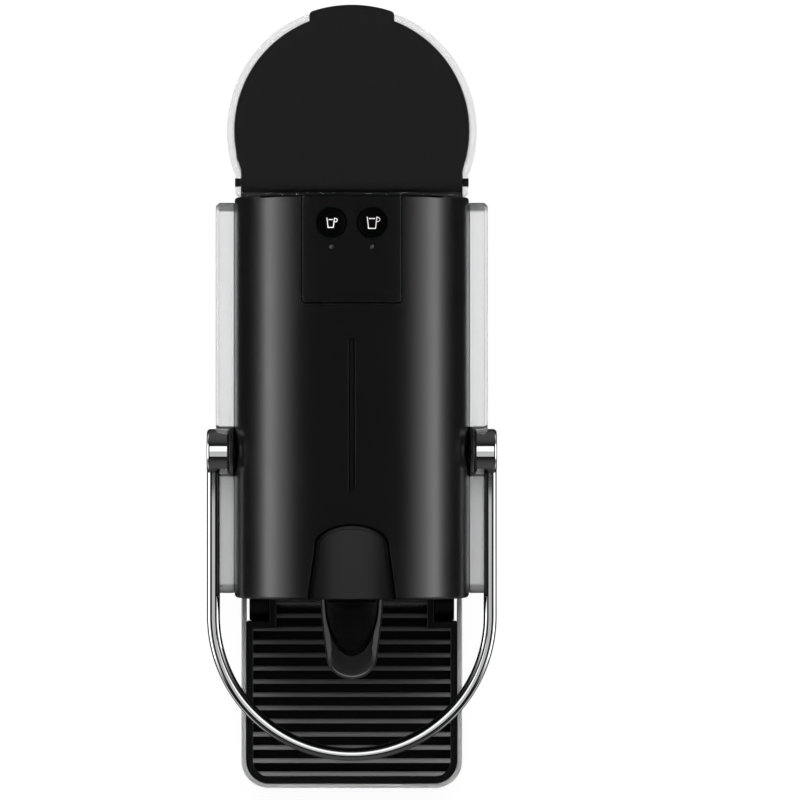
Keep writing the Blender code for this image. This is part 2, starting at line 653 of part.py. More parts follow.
def make_outlet():
    levels = ((0.80, OUTLET_BOTTOM), (0.92, 147.0), (0.985, 155.0), (1.0, 162.0), (0.985, 167.5), (0.93, OUTLET_TOP - 1.0))
    outlet = add_node("coffee_outlet", skin([outlet_outline(scale, height) for scale, height in levels]), "black_gloss")
    cut(outlet, rod("Z", (0.0, -94.0, 0.0), 3.0, 130.0, 180.0, 16))
    spout = ring("Z", (0.0, -94.0, 0.0), 2.4, 4.6, OUTLET_BOTTOM - 4.8, OUTLET_BOTTOM - GAP, 20)
    add_node("coffee_spout", spout, "black_matte")
    rings = []
    back_y = BODY_FRONT - GAP
    for height, tip_y, half in ((OUTLET_TOP - 0.7, -100.5, TONGUE_HALF), (180.0, -93.0, TONGUE_HALF),
                                (190.0, -85.5, TONGUE_HALF), (202.0, -80.5, TONGUE_HALF), (216.0, -78.4, TONGUE_HALF)):
        outline = [(-half, back_y)] + arc(0.0, back_y - 0.8, half, 180, 360, 16, back_y - 0.8 - tip_y)
        rings.append([in_space(point, "XY", height) for point in outline + [(half, back_y)]])
    add_node("outlet_tongue", skin(rings), "black_gloss")


# ---------------------------------------------------------------- water path

def smooth_route(points, steps):
    """A smooth curve through the route's own points that leaves and arrives dead straight."""
    route = [Vector(point) for point in points]
    route.insert(1, route[0].lerp(route[1], 0.5))
    route.insert(-1, route[-1].lerp(route[-2], 0.5))
    padded = [2 * route[0] - route[1]] + route + [2 * route[-1] - route[-2]]
    curve = []
    for before, start, end, after in zip(padded, padded[1:], padded[2:], padded[3:]):
        for step in range(steps):
            t = step / steps
            curve.append(0.5 * (2 * start + (end - before) * t + (2 * before - 5 * start + 4 * end - after) * t ** 2
                                + (3 * start - before - 3 * end + after) * t ** 3))
    curve.append(route[-1])
    return curve


def make_hose(name, points, radius=2.4):
    """A flexible water hose along its route, as a bevelled curve with filled ends."""
    route = smooth_route(points, 2)
    curve = bpy.data.curves.new(name, "CURVE")
    curve.dimensions = "3D"
    curve.bevel_depth = radius * MM
    curve.bevel_resolution = 2
    curve.use_fill_caps = True
    spline = curve.splines.new("POLY")
    spline.points.add(len(route) - 1)
    for point, place in zip(spline.points, route):
        point.co = (place[0] * MM, place[1] * MM, place[2] * MM, 1.0)
    hose = bpy.data.objects.new(name, curve)
    curve.materials.append(finish_material("silicone"))
    bpy.context.scene.collection.objects.link(hose)


def make_water_path():
    pump_x, pump_z = 12.0, 45.0
    axis = (pump_x, 0.0, pump_z)
    body = turned([(2.2, 4.0), (2.2, 12.0), (9.0, 12.0), (9.0, 24.0), (13.5, 24.0), (13.5, 62.0), (9.0, 62.0),
                   (9.0, 74.0), (4.0, 74.0), (4.0, 81.0)], "Y", axis, 24)
    pump = add_node("pump_body", body, "white_plastic")
    unite(pump, rod("Z", (pump_x, 79.0, 0.0), 1.9, pump_z - 7.0, pump_z - 2.0, 12))
    coil = add_node("pump_coil", box((pump_x - 18.0, 28.0, pump_z - 18.0), (pump_x + 18.0, 58.0, pump_z + 18.0)), "steel")
    cut(coil, rod("Y", axis, 13.8, 20.0, 70.0, 24))
    half = 13.0
    cradle = add_node("pump_cradle", box((pump_x - half, 14.0, BASE_TOP + GAP), (pump_x + half, 72.0, pump_z + half)),
                      "rubber")
    cut(cradle, box((pump_x - half - 9.0, 22.0, 12.0), (pump_x + half + 9.0, 64.0, 80.0)),
        rod("Y", axis, 9.3, 0.0, 90.0, 24))
    meter = (-26.0, 55.0, 0.0)
    profile = [(11.0, 16.0), (12.0, 17.0), (12.0, 32.0), (11.0, 33.0), (3.4, 33.0), (3.4, 40.0)]
    flow_meter = add_node("flow_meter", turned(profile, "Z", meter, 24), "white_plastic")
    unite(flow_meter, rod("X", (0.0, 55.0, 24.0), 1.9, -16.0, -14.0, 12))
    block = add_node("thermoblock", prism(rounded_rectangle(-27.0, 27.0, 14.0, 62.0, 8.0, 4), "XY", 146.0, 192.0),
                     "aluminium")
    unite(block, rod("Z", (15.0, 22.0, 0.0), 2.4, 190.0, 198.0, 12))
    saddle = add_node("heater_saddle", box((-31.0, 12.0, 141.0), (31.0, 64.0, 149.0)), "grey_plastic")
    cut(saddle, box((-27.3, 13.7, 145.7), (27.3, 62.3, 155.0)), box((-18.0, 22.0, 130.0), (18.0, 54.0, 150.0)))
    make_hose("hose_tank_to_meter", [(0.0, VALVE_Y, 39.6), (0.0, VALVE_Y, 34.0), (-6.0, 116.0, 26.0),
                                     (-14.0, 96.0, 28.0), (-17.0, 78.0, 38.0), (-25.0, 58.0, 50.0),
                                     (-26.0, 55.0, 46.0), (-26.0, 55.0, 40.4)])
    make_hose("hose_meter_to_pump", [(-13.2, 55.0, 24.0), (-11.6, 55.0, 24.0), (-10.0, 55.2, 24.0), (-8.5, 66.0, 24.0),
                                     (-2.0, 78.0, 25.0), (8.0, 79.0, 27.0), (pump_x, 79.0, 31.0),
                                     (pump_x, 79.0, 34.0), (pump_x, 79.0, 37.2)])
    make_hose("hose_pump_to_heater", [(pump_x, 3.6, pump_z), (pump_x, 0.0, pump_z), (15.0, -1.5, 50.0),
                                      (30.0, 4.0, 75.0), (36.0, 40.0, 100.0), (30.0, 68.0, 125.0), (30.0, 70.0, 150.0),
                                      (33.0, 60.0, 185.0), (26.0, 34.0, 204.0), (16.5, 23.0, 207.0),
                                      (15.0, 22.0, 203.0), (15.0, 22.0, 198.4)])


# ---------------------------------------------------------------- capsule container, drip tray and cup support

def make_capsule_bin():
    outline = rounded_rectangle(-BIN_HALF, BIN_HALF, FRAME_FRONT, BIN_BACK_Y, 3.0, 3)
    add_node("capsule_container", cup(outline, "XY", 1.8, BIN_BOTTOM, BIN_BOTTOM + 1.8, BIN_TOP), "black_gloss")


def make_drip_tray():
    outline = rounded_rectangle(-TRAY_HALF, TRAY_HALF, TRAY_FRONT_Y, TRAY_BACK_Y, 8.0, 5)
    tray = add_node("drip_tray", cup(outline, "XY", 1.8, BASE_TOP + 0.4, BASE_TOP + 2.2, 22.0), "black_matte")
    for side in (LEFT, RIGHT):
        low, high = side_range(side, HINGE_BLOCK_IN, HINGE_BLOCK_OUT)
        block = arc(HINGE_Y, HINGE_Z, HINGE_BLOCK_RADIUS, 0, 180, 12)
        block += [(HINGE_Y - HINGE_BLOCK_RADIUS, BASE_TOP + 1.5), (HINGE_Y + HINGE_BLOCK_RADIUS, BASE_TOP + 1.5)]
        unite(tray, prism(block, "YZ", low, high))
    cut(tray, rod("X", (0.0, HINGE_Y, HINGE_Z), 2.1, -50.0, 50.0, 16))
    add_node("hinge_pin", rod("X", (0.0, HINGE_Y, HINGE_Z), 1.8, -43.6, 43.6, 16), "steel")


def support_path(half, front_y, corner, back_y):
    """Plan of a U that is open towards the machine, from its right end round to its left end."""
    right = arc(half - corner, front_y + corner, corner, 0, -90, 10)
    left = arc(-half + corner, front_y + corner, corner, -90, -180, 10)
    return [(half, back_y)] + right + left + [(-half, back_y)]


def tray_outline(half, front_y, corner, shoulder_y, neck_half, back_y):
    """Plan of a tray whose back narrows between the two hinge blocks, counter-clockwise."""
    path = support_path(half, front_y, corner, shoulder_y)[::-1]
    return path + [(neck_half, shoulder_y), (neck_half, back_y), (-neck_half, back_y), (-neck_half, shoulder_y)]


def make_cup_support():
    pivot = (0.0, HINGE_Y, HINGE_Z)
    outer = support_path(RIM_HALF, RIM_FRONT_Y, RIM_CORNER, RIM_BACK_Y)
    inner = support_path(RIM_HALF - RIM_WALL, RIM_FRONT_Y + RIM_WALL, RIM_CORNER - RIM_WALL, RIM_BACK_Y)
    add_node("support_rim", band(outer, inner, "XY", RIM_BOTTOM, RIM_TOP), "silver_paint", pivot)
    shoulder_y = HINGE_Y - HINGE_BLOCK_RADIUS - 0.4
    front_y = RIM_FRONT_Y + RIM_WALL + GAP
    corner = RIM_CORNER - RIM_WALL - GAP
    neck_half = HINGE_BLOCK_IN - GAP
    outline = tray_outline(CUP_TRAY_HALF, front_y, corner, shoulder_y, neck_half, RIM_BACK_Y)
    tray = add_node("cup_tray", cup(outline, "XY", 1.6, 32.0, 33.8, 45.4), "black_matte", pivot)
    for side in (LEFT, RIGHT):
        low, high = side_range(side, 30.5, neck_half - 0.2)
        unite(tray, rod("X", pivot, 3.4, low, high, 16))
    cut(tray, rod("X", pivot, 2.1, -40.0, 40.0, 16))
    make_drip_grid(front_y, corner, shoulder_y, neck_half)


def make_drip_grid(front_y, corner, shoulder_y, neck_half):
    """Frame and cross slats in one moulding, which lifts off the cup tray."""
    low, high = 45.7, RIM_TOP - 0.4
    outline = tray_outline(GRID_HALF, front_y, corner, shoulder_y, neck_half, RIM_BACK_Y)
    inner = offset(outline, GRID_BAR)
    grid = skin([[in_space(point, "XY", height) for point in loop]
                 for loop, height in ((outline, low), (outline, high), (inner, high), (inner, low))], closed=True)
    frame = add_node("drip_grid", grid, "black_matte", (0.0, HINGE_Y, RIM_TOP))
    for index in range(SLAT_COUNT):
        slat_y = SLAT_FRONT_Y + index * SLAT_PITCH
        half = GRID_HALF - 1.0
        if slat_y > shoulder_y:
            half = neck_half - 1.0
        if index == 0:
            half = GRID_HALF - corner + 4.0
        unite(frame, box((-half, slat_y - SLAT_WIDTH / 2, low + 0.5), (half, slat_y + SLAT_WIDTH / 2, high - 0.3)))


# ---------------------------------------------------------------- water tank

def tank_outline(inset, height):
    """Plan of the tank's wall at a distance inside its outer face: round behind, straight beside the body."""
    radius, half = TANK_RADIUS - inset, TANK_HALF - inset
    start = math.degrees(math.acos(half / radius))
    points = arc(0.0, TANK_Y, radius, -start, 180 + start, FINE_ROUND)
    outline = points + [(-half, TANK_FRONT_Y + inset), (half, TANK_FRONT_Y + inset)]
    return [in_space(point, "XY", height) for point in outline]


def make_tank():
    taper = 1.6
    rings = [tank_outline(taper, TANK_BOTTOM), tank_outline(0.0, TANK_RIM), tank_outline(TANK_WALL, TANK_RIM),
             tank_outline(TANK_WALL, TANK_LEDGE), tank_outline(TANK_WALL + 2.4, TANK_LEDGE),
             tank_outline(TANK_WALL + 2.4, TANK_LEDGE - 2.4), tank_outline(TANK_WALL, TANK_LEDGE - 5.0),
             tank_outline(TANK_WALL + taper, TANK_FLOOR)]
    tank = add_node("water_tank", skin(rings), "clear_plastic")
    cut(tank, box((-60.0, 80.0, TANK_LEDGE), (60.0, 95.6, 240.0)),
        box((-LID_TAB_HALF - 0.5, 150.0, TANK_LEDGE), (LID_TAB_HALF + 0.5, 170.0, 240.0)),
        rod("Z", (0.0, VALVE_Y, 0.0), 3.3, 50.0, 70.0, 16))
    valve = turned([(2.6, 54.0), (3.0, 54.6), (3.0, 66.3), (6.5, 66.3), (6.5, 67.6), (4.0, 68.6)], "Z",
                   (0.0, VALVE_Y, 0.0), 20)
    add_node("tank_valve", valve, "silicone", (0.0, VALVE_Y, TANK_BOTTOM))


def lid_outline(inset):
    radius = LID_RADIUS - inset
    half = LID_HALF - inset
    start = math.degrees(math.acos(half / radius))
    tab = LID_TAB_HALF - inset
    tab_y = LID_TAB_Y - inset
    shoulder = math.degrees(math.acos(tab / radius))
    corner = 2.4
    points = arc(0.0, TANK_Y, radius, -start, shoulder, 20)
    points += arc(tab - corner, tab_y - corner, corner, 0, 90, 4)
    points += arc(-tab + corner, tab_y - corner, corner, 90, 180, 4)
    points += arc(0.0, TANK_Y, radius, 180 - shoulder, 180 + start, 20)
    return points + [(-half, LID_HINGE_Y + inset), (half, LID_HINGE_Y + inset)]


def make_lid():
    outer, inner = lid_outline(0.0), lid_outline(2.0)
    bottom = TANK_LEDGE + GAP
    rings = [[in_space(point, "XY", height) for point in outline]
             for outline, height in ((inner, LID_TOP - LID_WALL), (inner, bottom), (outer, bottom), (outer, LID_TOP))]
    pivot = (0.0, LID_HINGE_Y, LID_HINGE_Z)
    lid = add_node("tank_lid", skin(rings), "black_matte", pivot)
    unite(lid, rod("X", pivot, LID_BARREL_RADIUS, -LID_HALF, LID_HALF, 24))
    cut(lid, rod("X", pivot, 1.8, -60.0, 60.0, 12))
    pin = add_node("lid_pin", rod("X", pivot, 1.5, -46.0, 46.0, 12), "black_matte")
    for side in (LEFT, RIGHT):
        low, high = side_range(side, LID_HALF + 0.4, 47.0)
        unite(pin, box((low, LID_HINGE_Y - 1.6, bottom), (high, LID_HINGE_Y + 1.6, 220.2)))


# ---------------------------------------------------------------- assembly

def build_machine():
    clear_scene()
    make_top_shell()
    make_head_front()
    make_head_floor()
    make_rear_cover()
    make_base()
    make_plinth()
    make_controls()
    make_lever()
    for side in (LEFT, RIGHT):
        make_side_frame(side)
        make_side_panel(side)
        make_bush(side)
        make_crank(side)
        make_link(side)
    make_cage()
    make_capsule_door()
    make_brew_frame()
    make_capsule_guide()
    make_outlet()
    make_water_path()
    make_capsule_bin()
    make_drip_tray()
    make_cup_support()
    make_tank()
    make_lid()


build_machine()
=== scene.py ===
"""Looks of the pod coffee machine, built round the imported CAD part.

Shapes are written in millimetres and turned into Blender's metres by add_piece().
"""

import math

import bmesh
import bpy
import numpy as np
from mathutils import Matrix, Vector


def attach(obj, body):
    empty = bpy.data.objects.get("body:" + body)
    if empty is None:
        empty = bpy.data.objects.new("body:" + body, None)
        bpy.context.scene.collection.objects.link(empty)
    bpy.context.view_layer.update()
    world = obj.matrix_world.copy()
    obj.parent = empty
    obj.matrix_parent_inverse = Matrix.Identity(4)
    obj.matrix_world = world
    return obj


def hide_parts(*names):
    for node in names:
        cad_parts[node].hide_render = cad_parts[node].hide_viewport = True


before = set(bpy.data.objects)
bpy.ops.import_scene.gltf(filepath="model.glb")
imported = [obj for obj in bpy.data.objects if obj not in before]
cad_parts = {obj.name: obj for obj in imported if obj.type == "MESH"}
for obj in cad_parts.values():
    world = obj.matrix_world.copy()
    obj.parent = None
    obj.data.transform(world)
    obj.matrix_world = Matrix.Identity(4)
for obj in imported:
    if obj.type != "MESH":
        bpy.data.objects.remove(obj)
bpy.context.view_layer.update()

MM = 0.001
LEFT, RIGHT = -1, 1
GAP = 0.3

# Sizes in millimetres, the CAD part's own apart from a few softened or split shapes.
HEAD_RADIUS = 47.7
HEAD_AXIS_Z = 187.3
HEAD_BOTTOM = 138.0
BODY_FRONT = -76.5
BODY_BACK = 86.2
SHELL_WALL = 2.2
SHELL_FRONT_EDGE = 1.4
SHELL_BACK_EDGE = 1.2
PIVOT_HOLE = 5.3
INNER_RADIUS = HEAD_RADIUS - SHELL_WALL
SLOT_FRONT_HALF = 18.1
SLOT_BACK_HALF = 15.1
SLOT_ARCH_Y = -54.8
SLOT_BACK_Y = -45.8
SLOT_TAPER = 0.8
SLOT_EDGE = 0.4
DOOR_PAD_INSET = 1.9
DOOR_HALF = 19.6
DOOR_RADIUS = INNER_RADIUS - 0.4
DOOR_WALL = 1.8
DOOR_BACK_Y = -43.5
DOOR_SHEET_DROP = 1.2
DOOR_FRONT_Y = -76.2
GROOVE_FRONT_Y = -32.2
GROOVE_BACK_Y = 28.6
GROOVE_WIDTH = 2.6
GROOVE_FLOOR = 1.4
GROOVE_DEPTH = 1.1
GROOVE_EDGE = 0.25
KEYPAD_HALF = 19.8
KEYPAD_FRONT_Y = 42.9
KEYPAD_WALL = 1.8
KEYPAD_EDGE = 0.3
BUTTON_X = 8.2
BUTTON_Y = 74.9
BUTTON_RADIUS = 6.05
LIGHT_Y = 65.2
LIGHT_RADIUS = 0.95
PANEL_IN = 48.0
PANEL_OUT = 55.5
PANEL_FRONT = -75.0
PANEL_BACK = 84.4
PANEL_BOTTOM = 14.0
PANEL_TOP = 183.7
PANEL_CORNER = 4.5
PANEL_WALL = 1.5
NOTCH_RADIUS = 10.8
PIVOT_Y = -17.1
PIVOT_Z = HEAD_AXIS_Z
LEVER_OUT = 59.0
LEVER_IN = 53.7
LEVER_BEND_Y = -84.1
LEVER_HEIGHT = 6.4
BARREL_RADIUS = 9.15
BARREL_IN = 50.0
BUSH_RADIUS = 10.0
BUSH_BORE = 4.3
OUTLET_HALF_BACK = 13.0
OUTLET_HALF_FRONT = 10.5
OUTLET_BEND_Y = -101.5
OUTLET_TIP_Y = -110.9
OUTLET_BOTTOM = 141.0
OUTLET_TOP = 172.0
TONGUE_TIP_Y = -98.7
HINGE_Y = -84.0
HINGE_BLOCK_RADIUS = 6.8
HINGE_BLOCK_IN = 35.5
RIM_HALF = 47.3
RIM_WALL = 2.0
RIM_FRONT_Y = -162.6
RIM_BACK_Y = -79.5
RIM_CORNER = 12.0
RIM_BOTTOM = 30.5
RIM_TOP = 50.0
GRID_HALF = 45.2
GRID_BAR = 2.9
GRID_BOTTOM = 45.7
SLAT_COUNT = 14
SLAT_PITCH = 5.655
SLAT_FRONT_Y = -156.45
SLAT_WIDTH = 1.9
TANK_Y = 112.15
TANK_RADIUS = 50.25
TANK_HALF = 47.0
TANK_FRONT_Y = 86.7
TANK_WALL = 2.3
TANK_BOTTOM = 60.3
TANK_FLOOR = 62.8
TANK_LEDGE = 213.6
TANK_RIM = 219.0
TANK_TAPER = 1.6
VALVE_Y = 130.0
LID_RADIUS = 47.3
LID_HALF = 44.3
LID_TOP = 222.0
LID_WALL = 2.2
LID_TAB_HALF = 17.1
LID_TAB_Y = 162.8
LID_BARREL_RADIUS = 4.05
LID_HINGE_Y = 91.4
LID_HINGE_Z = LID_TOP - LID_BARREL_RADIUS
# How far a cutting tool reaches below and above the arch of the head.
TOOL_BELOW = 14.0
TOOL_ABOVE = -12.0

# Pieces that reflect each set of cards: bright ones overhead, a dim one overhead, one in front, and those at
# the sides.
UNDER_BRIGHT_CARDS = bpy.data.collections.new("under_bright_cards")
UNDER_DIM_CARDS = bpy.data.collections.new("under_dim_cards")
BEHIND_FRONT_CARD = bpy.data.collections.new("behind_front_card")
BETWEEN_SIDE_CARDS = bpy.data.collections.new("between_side_cards")
# The slats are lit by a light of their own, further back, instead of the key light.
SLATS_ONLY = bpy.data.collections.new("slats_only")
ALL_BUT_SLATS = bpy.data.collections.new("all_but_slats")


# ---------------------------------------------------------------- mesh helpers

def arc(centre_a, centre_b, radius, start, end, steps, radius_b=None):
    """Points along an arc or a part of an ellipse, angles in degrees."""
    second = radius if radius_b is None else radius_b
    return [(centre_a + radius * math.cos(math.radians(start + (end - start) * step / steps)),
             centre_b + second * math.sin(math.radians(start + (end - start) * step / steps)))
            for step in range(steps + 1)]


def rounded_rectangle(low_a, high_a, low_b, high_b, radius, steps=6):
    return (arc(high_a - radius, high_b - radius, radius, 0, 90, steps)
            + arc(low_a + radius, high_b - radius, radius, 90, 180, steps)
            + arc(low_a + radius, low_b + radius, radius, 180, 270, steps)
            + arc(high_a - radius, low_b + radius, radius, 270, 360, steps))


def in_space(point, plane, height):
    first, second = point
    if plane == "XY":
        return Vector((first, second, height))
    if plane == "XZ":
        return Vector((first, height, second))
    return Vector((height, first, second))


def fillet(radius, steps=4):
    """(inset, distance from the end face) round a convex edge, starting on the end face."""
    return [(radius * (1 - math.sin(t)), radius * (1 - math.cos(t)))
            for t in (math.pi / 2 * step / steps for step in range(steps + 1))]


def skin(rings, around=True, along=False):
    """A closed surface through rings of equally many points.

    around: each ring closes on itself, and the first and last are capped unless along is set.
    along without around: rings are open paths, the last joins the first, and both ends are capped.
    """
    mesh = bmesh.new()
    rows = [[mesh.verts.new(point) for point in ring] for ring in rings]
    count = len(rows[0])
    pairs = list(zip(rows, rows[1:])) + ([(rows[-1], rows[0])] if along else [])
    for first, second in pairs:
        for index in range(count if around else count - 1):
            after = (index + 1) % count
            mesh.faces.new((first[index], first[after], second[after], second[index]))
    if around and not along:
        mesh.faces.new(rows[0][::-1])
        mesh.faces.new(rows[-1])
    if along and not around:
        mesh.faces.new([row[0] for row in rows])
        mesh.faces.new([row[-1] for row in rows][::-1])
    bmesh.ops.recalc_face_normals(mesh, faces=mesh.faces)
    return mesh


def levelled(outline, plane, levels):
    """A row of points for each (inset, height) level of outline(inset)."""
    return [[in_space(point, plane, height) for point in outline(inset)] for inset, height in levels]


def prism(outline, plane, low, high):
    return skin([[in_space(point, plane, height) for point in outline] for height in (low, high)])


def box(low, high):
    corners = [(low[0], low[1]), (high[0], low[1]), (high[0], high[1]), (low[0], high[1])]
    return prism(corners, "XY", low[2], high[2])


def circles(profile, axis, centre, segments):
    """A circle about an axis through centre for each (radius, distance along the axis)."""
    plane = {"X": "YZ", "Y": "XZ", "Z": "XY"}[axis]
    return [[in_space(point, plane, along) + Vector(centre)
             for point in arc(0.0, 0.0, radius, 0, 360, segments)[:-1]] for radius, along in profile]


def turned(profile, axis, centre, segments=64):
    return skin(circles(profile, axis, centre, segments))


def ring(profile, axis, centre, segments=64):
    """Turn a closed profile that doesn't meet the axis."""
    return skin(circles(profile, axis, centre, segments), along=True)


def rod(axis, centre, radius, low, high, segments=48):
    return turned([(radius, low), (radius, high)], axis, centre, segments)


def merged(*meshes):
    """Several closed meshes as one."""
    whole = meshes[0]
    for mesh in meshes[1:]:
        data = bpy.data.meshes.new("part")
        mesh.to_mesh(data)
        mesh.free()
        whole.from_mesh(data)
        bpy.data.meshes.remove(data)
    return whole


def turn_about_head(mesh, angle):
    """Tip a mesh sideways about the head's axis; angle is in degrees, towards +X."""
    move = (Matrix.Translation((0.0, 0.0, HEAD_AXIS_Z)) @ Matrix.Rotation(math.radians(angle), 4, "Y")
            @ Matrix.Translation((0.0, 0.0, -HEAD_AXIS_Z)))
    mesh.transform(move)
    return mesh


def new_object(name, mesh):
    data = bpy.data.meshes.new(name)
    mesh.transform(Matrix.Scale(MM, 4))
    mesh.to_mesh(data)
    mesh.free()
    thing = bpy.data.objects.new(name, data)
    bpy.context.scene.collection.objects.link(thing)
    return thing


def settle(thing):
    """Replace an object's mesh by what its modifiers make of it."""
    bpy.context.view_layer.update()
    shown = thing.evaluated_get(bpy.context.evaluated_depsgraph_get())
    data = bpy.data.meshes.new_from_object(shown)
    old = thing.data
    thing.modifiers.clear()
    thing.data = data
    bpy.data.meshes.remove(old)
    data.name = thing.name


def join_cut(thing, mesh, operation):
    tool = new_object("tool", mesh)
    change = thing.modifiers.new("cut", "BOOLEAN")
    change.operation = operation
    change.solver = "EXACT"
    change.object = tool
    settle(thing)
    data = tool.data
    bpy.data.objects.remove(tool)
    bpy.data.meshes.remove(data)


def cut(thing, *meshes):
    for mesh in meshes:
        join_cut(thing, mesh, "DIFFERENCE")


def unite(thing, *meshes):
    for mesh in meshes:
        join_cut(thing, mesh, "UNION")


def bevel(thing, width, segments=3, angle=40.0):
    soften = thing.modifiers.new("bevel", "BEVEL")
    soften.width = width * MM
    soften.segments = segments
    soften.limit_method = "ANGLE"
    soften.angle_limit = math.radians(angle)
    soften.use_clamp_overlap = True
    soften.miter_outer = "MITER_ARC"
    settle(thing)


def smooth(thing, sharp=38.0):
    """Smooth shading with flat faces kept flat."""
    thing.data.shade_smooth()
    thing.data.set_sharp_from_angle(angle=math.radians(sharp))
    even = thing.modifiers.new("normals", "WEIGHTED_NORMAL")
    even.keep_sharp = True
    even.weight = 90
    settle(thing)


def round_normals(thing, radius):
    """Exact normals wherever the surface lies on the head's cylinder, so that long reflections stay clean."""
    data = thing.data
    count = len(data.loops)
    points = np.zeros(len(data.vertices) * 3)
    data.vertices.foreach_get("co", points)
    points = points.reshape(-1, 3) / MM
    normals = np.zeros(count * 3)
    data.corner_normals.foreach_get("vector", normals)
    normals = normals.reshape(-1, 3)
    across, up = points[:, 0], points[:, 2] - HEAD_AXIS_Z
    reach = np.hypot(across, up)
    arch = (abs(reach - radius) < 0.03) & (up > -0.01)
    side = (abs(abs(across) - radius) < 0.03) & (up <= -0.01)
    radial = np.stack([across / np.maximum(reach, 1e-6), 0 * up, up / np.maximum(reach, 1e-6)], 1)
    radial[side] = np.stack([np.sign(across), 0 * up, 0 * up], 1)[side]
    for face in data.polygons:
        for index in face.loop_indices:
            corner = data.loops[index].vertex_index
            if (arch[corner] or side[corner]) and Vector(radial[corner]).dot(face.normal) > 0.85:
                normals[index] = radial[corner]
    data.normals_split_custom_set(normals.tolist())


def add_piece(name, mesh, body, look, nodes=()):
    """A new visible piece: it rides on a body, stands for CAD nodes and takes the finish it is given."""
    thing = mesh if isinstance(mesh, bpy.types.Object) else new_object(name, mesh)
    thing.name = name
    thing.data.materials.clear()
    thing.data.materials.append(look)
    if not isinstance(mesh, bpy.types.Object):
        smooth(thing)
    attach(thing, body)
    if nodes:
        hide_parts(*nodes)
    if look in (CHROME, ALUMINIUM, DOOR):
        UNDER_BRIGHT_CARDS.objects.link(thing)
    elif look != SLATS_PAINTED_SHEEN:
        UNDER_DIM_CARDS.objects.link(thing)
        if look not in (TONGUE, KEYPAD, BUTTON, LID) and name != "top_shell_piece":
            BEHIND_FRONT_CARD.objects.link(thing)
    if look != ALUMINIUM:
        BETWEEN_SIDE_CARDS.objects.link(thing)
    return thing


# ---------------------------------------------------------------- materials

def make_look(name, colour, spread=0.1, grain=400.0, roughness=(0.3, 0.36), metallic=0.0, bump=0.0,
              bump_grain=1500.0, stretch=(1.0, 1.0, 1.0), **sockets):
    """A finish whose colour and roughness vary a little, with an optional fine bump.

    spread is how far the colour moves about its mean; grain and bump_grain are noise scales per metre.
    """
    look = bpy.data.materials.new(name)
    look.use_nodes = True
    nodes, links = look.node_tree.nodes, look.node_tree.links
    shader = nodes["Principled BSDF"]
    where = nodes.new("ShaderNodeTexCoord")
    mapping = nodes.new("ShaderNodeMapping")
    mapping.inputs["Scale"].default_value = stretch
    links.new(where.outputs["Object"], mapping.inputs["Vector"])
    noise = nodes.new("ShaderNodeTexNoise")
    noise.inputs["Scale"].default_value = grain
    noise.inputs["Detail"].default_value = 3.0
    links.new(mapping.outputs["Vector"], noise.inputs["Vector"])
    ramp = nodes.new("ShaderNodeValToRGB")
    ramp.color_ramp.elements[0].position = 0.3
    ramp.color_ramp.elements[1].position = 0.7
    for element, factor in zip(ramp.color_ramp.elements, (1.0 - spread, 1.0 + spread)):
        element.color = (*(min(1.0, channel * factor) for channel in colour), 1.0)
    links.new(noise.outputs["Fac"], ramp.inputs["Fac"])
    links.new(ramp.outputs["Color"], shader.inputs["Base Color"])
    uneven = nodes.new("ShaderNodeMapRange")
    uneven.inputs["From Min"].default_value = 0.3
    uneven.inputs["From Max"].default_value = 0.7
    uneven.inputs["To Min"].default_value = roughness[0]
    uneven.inputs["To Max"].default_value = roughness[1]
    links.new(noise.outputs["Fac"], uneven.inputs["Value"])
    links.new(uneven.outputs["Result"], shader.inputs["Roughness"])
    if bump:
        fine = nodes.new("ShaderNodeTexNoise")
        fine.inputs["Scale"].default_value = bump_grain
        fine.inputs["Detail"].default_value = 2.0
        links.new(mapping.outputs["Vector"], fine.inputs["Vector"])
        relief = nodes.new("ShaderNodeBump")
        relief.inputs["Strength"].default_value = bump
        relief.inputs["Distance"].default_value = 0.00005
        links.new(fine.outputs["Fac"], relief.inputs["Height"])
        links.new(relief.outputs["Normal"], shader.inputs["Normal"])
    shader.inputs["Metallic"].default_value = metallic
    for socket, value in sockets.items():
        shader.inputs[socket.replace("_", " ")].default_value = value
    return look


def see_through(look, face_on, edge_on):
    """Make a finish clear: its opacity rises from face_on to edge_on as the surface turns away."""
    nodes, links = look.node_tree.nodes, look.node_tree.links
    turned_away = nodes.new("ShaderNodeLayerWeight")
    turned_away.inputs["Blend"].default_value = 0.5
    opacity = nodes.new("ShaderNodeMapRange")
    opacity.inputs["To Min"].default_value = face_on
    opacity.inputs["To Max"].default_value = edge_on
    links.new(turned_away.outputs["Facing"], opacity.inputs["Value"])
    links.new(opacity.outputs["Result"], nodes["Principled BSDF"].inputs["Alpha"])
    return look


def grey(level):
    return (level, level, level)


SHELL = make_look("shell_black", grey(0.002), 0.12, 60.0, (0.21, 0.24))
DOOR = make_look("door_black", grey(0.003), 0.06, 60.0, (0.28, 0.32), Specular_IOR_Level=0.28)
KEYPAD = make_look("keypad_black", grey(0.002), 0.12, 80.0, (0.22, 0.25))
BUTTON = make_look("button_black", grey(0.0006), 0.2, 300.0, (0.42, 0.5), Specular_IOR_Level=0.08)
OUTLET = make_look("outlet_black", grey(0.009), 0.1, 90.0, (0.32, 0.38), Specular_IOR_Level=0.28)
TONGUE = make_look("tongue_black", grey(0.007), 0.15, 120.0, (0.3, 0.36), Specular_IOR_Level=0.016)
LID = make_look("lid_black", grey(0.0085), 0.05, 250.0, (0.55, 0.62), 0.0, 0.08, 2600.0,
                Specular_IOR_Level=0.25)
TRIM = make_look("trim_black", grey(0.006), 0.2, 200.0, (0.45, 0.55), 0.0, 0.15, 2400.0)
# The slats' black plastic takes a mid-grey base colour: painted sheen that stands in for the light their tops
# catch.
SLATS_PAINTED_SHEEN = make_look("slats_painted_sheen", grey(0.25), 0.03, 200.0, (0.42, 0.46), Specular_IOR_Level=0.3)
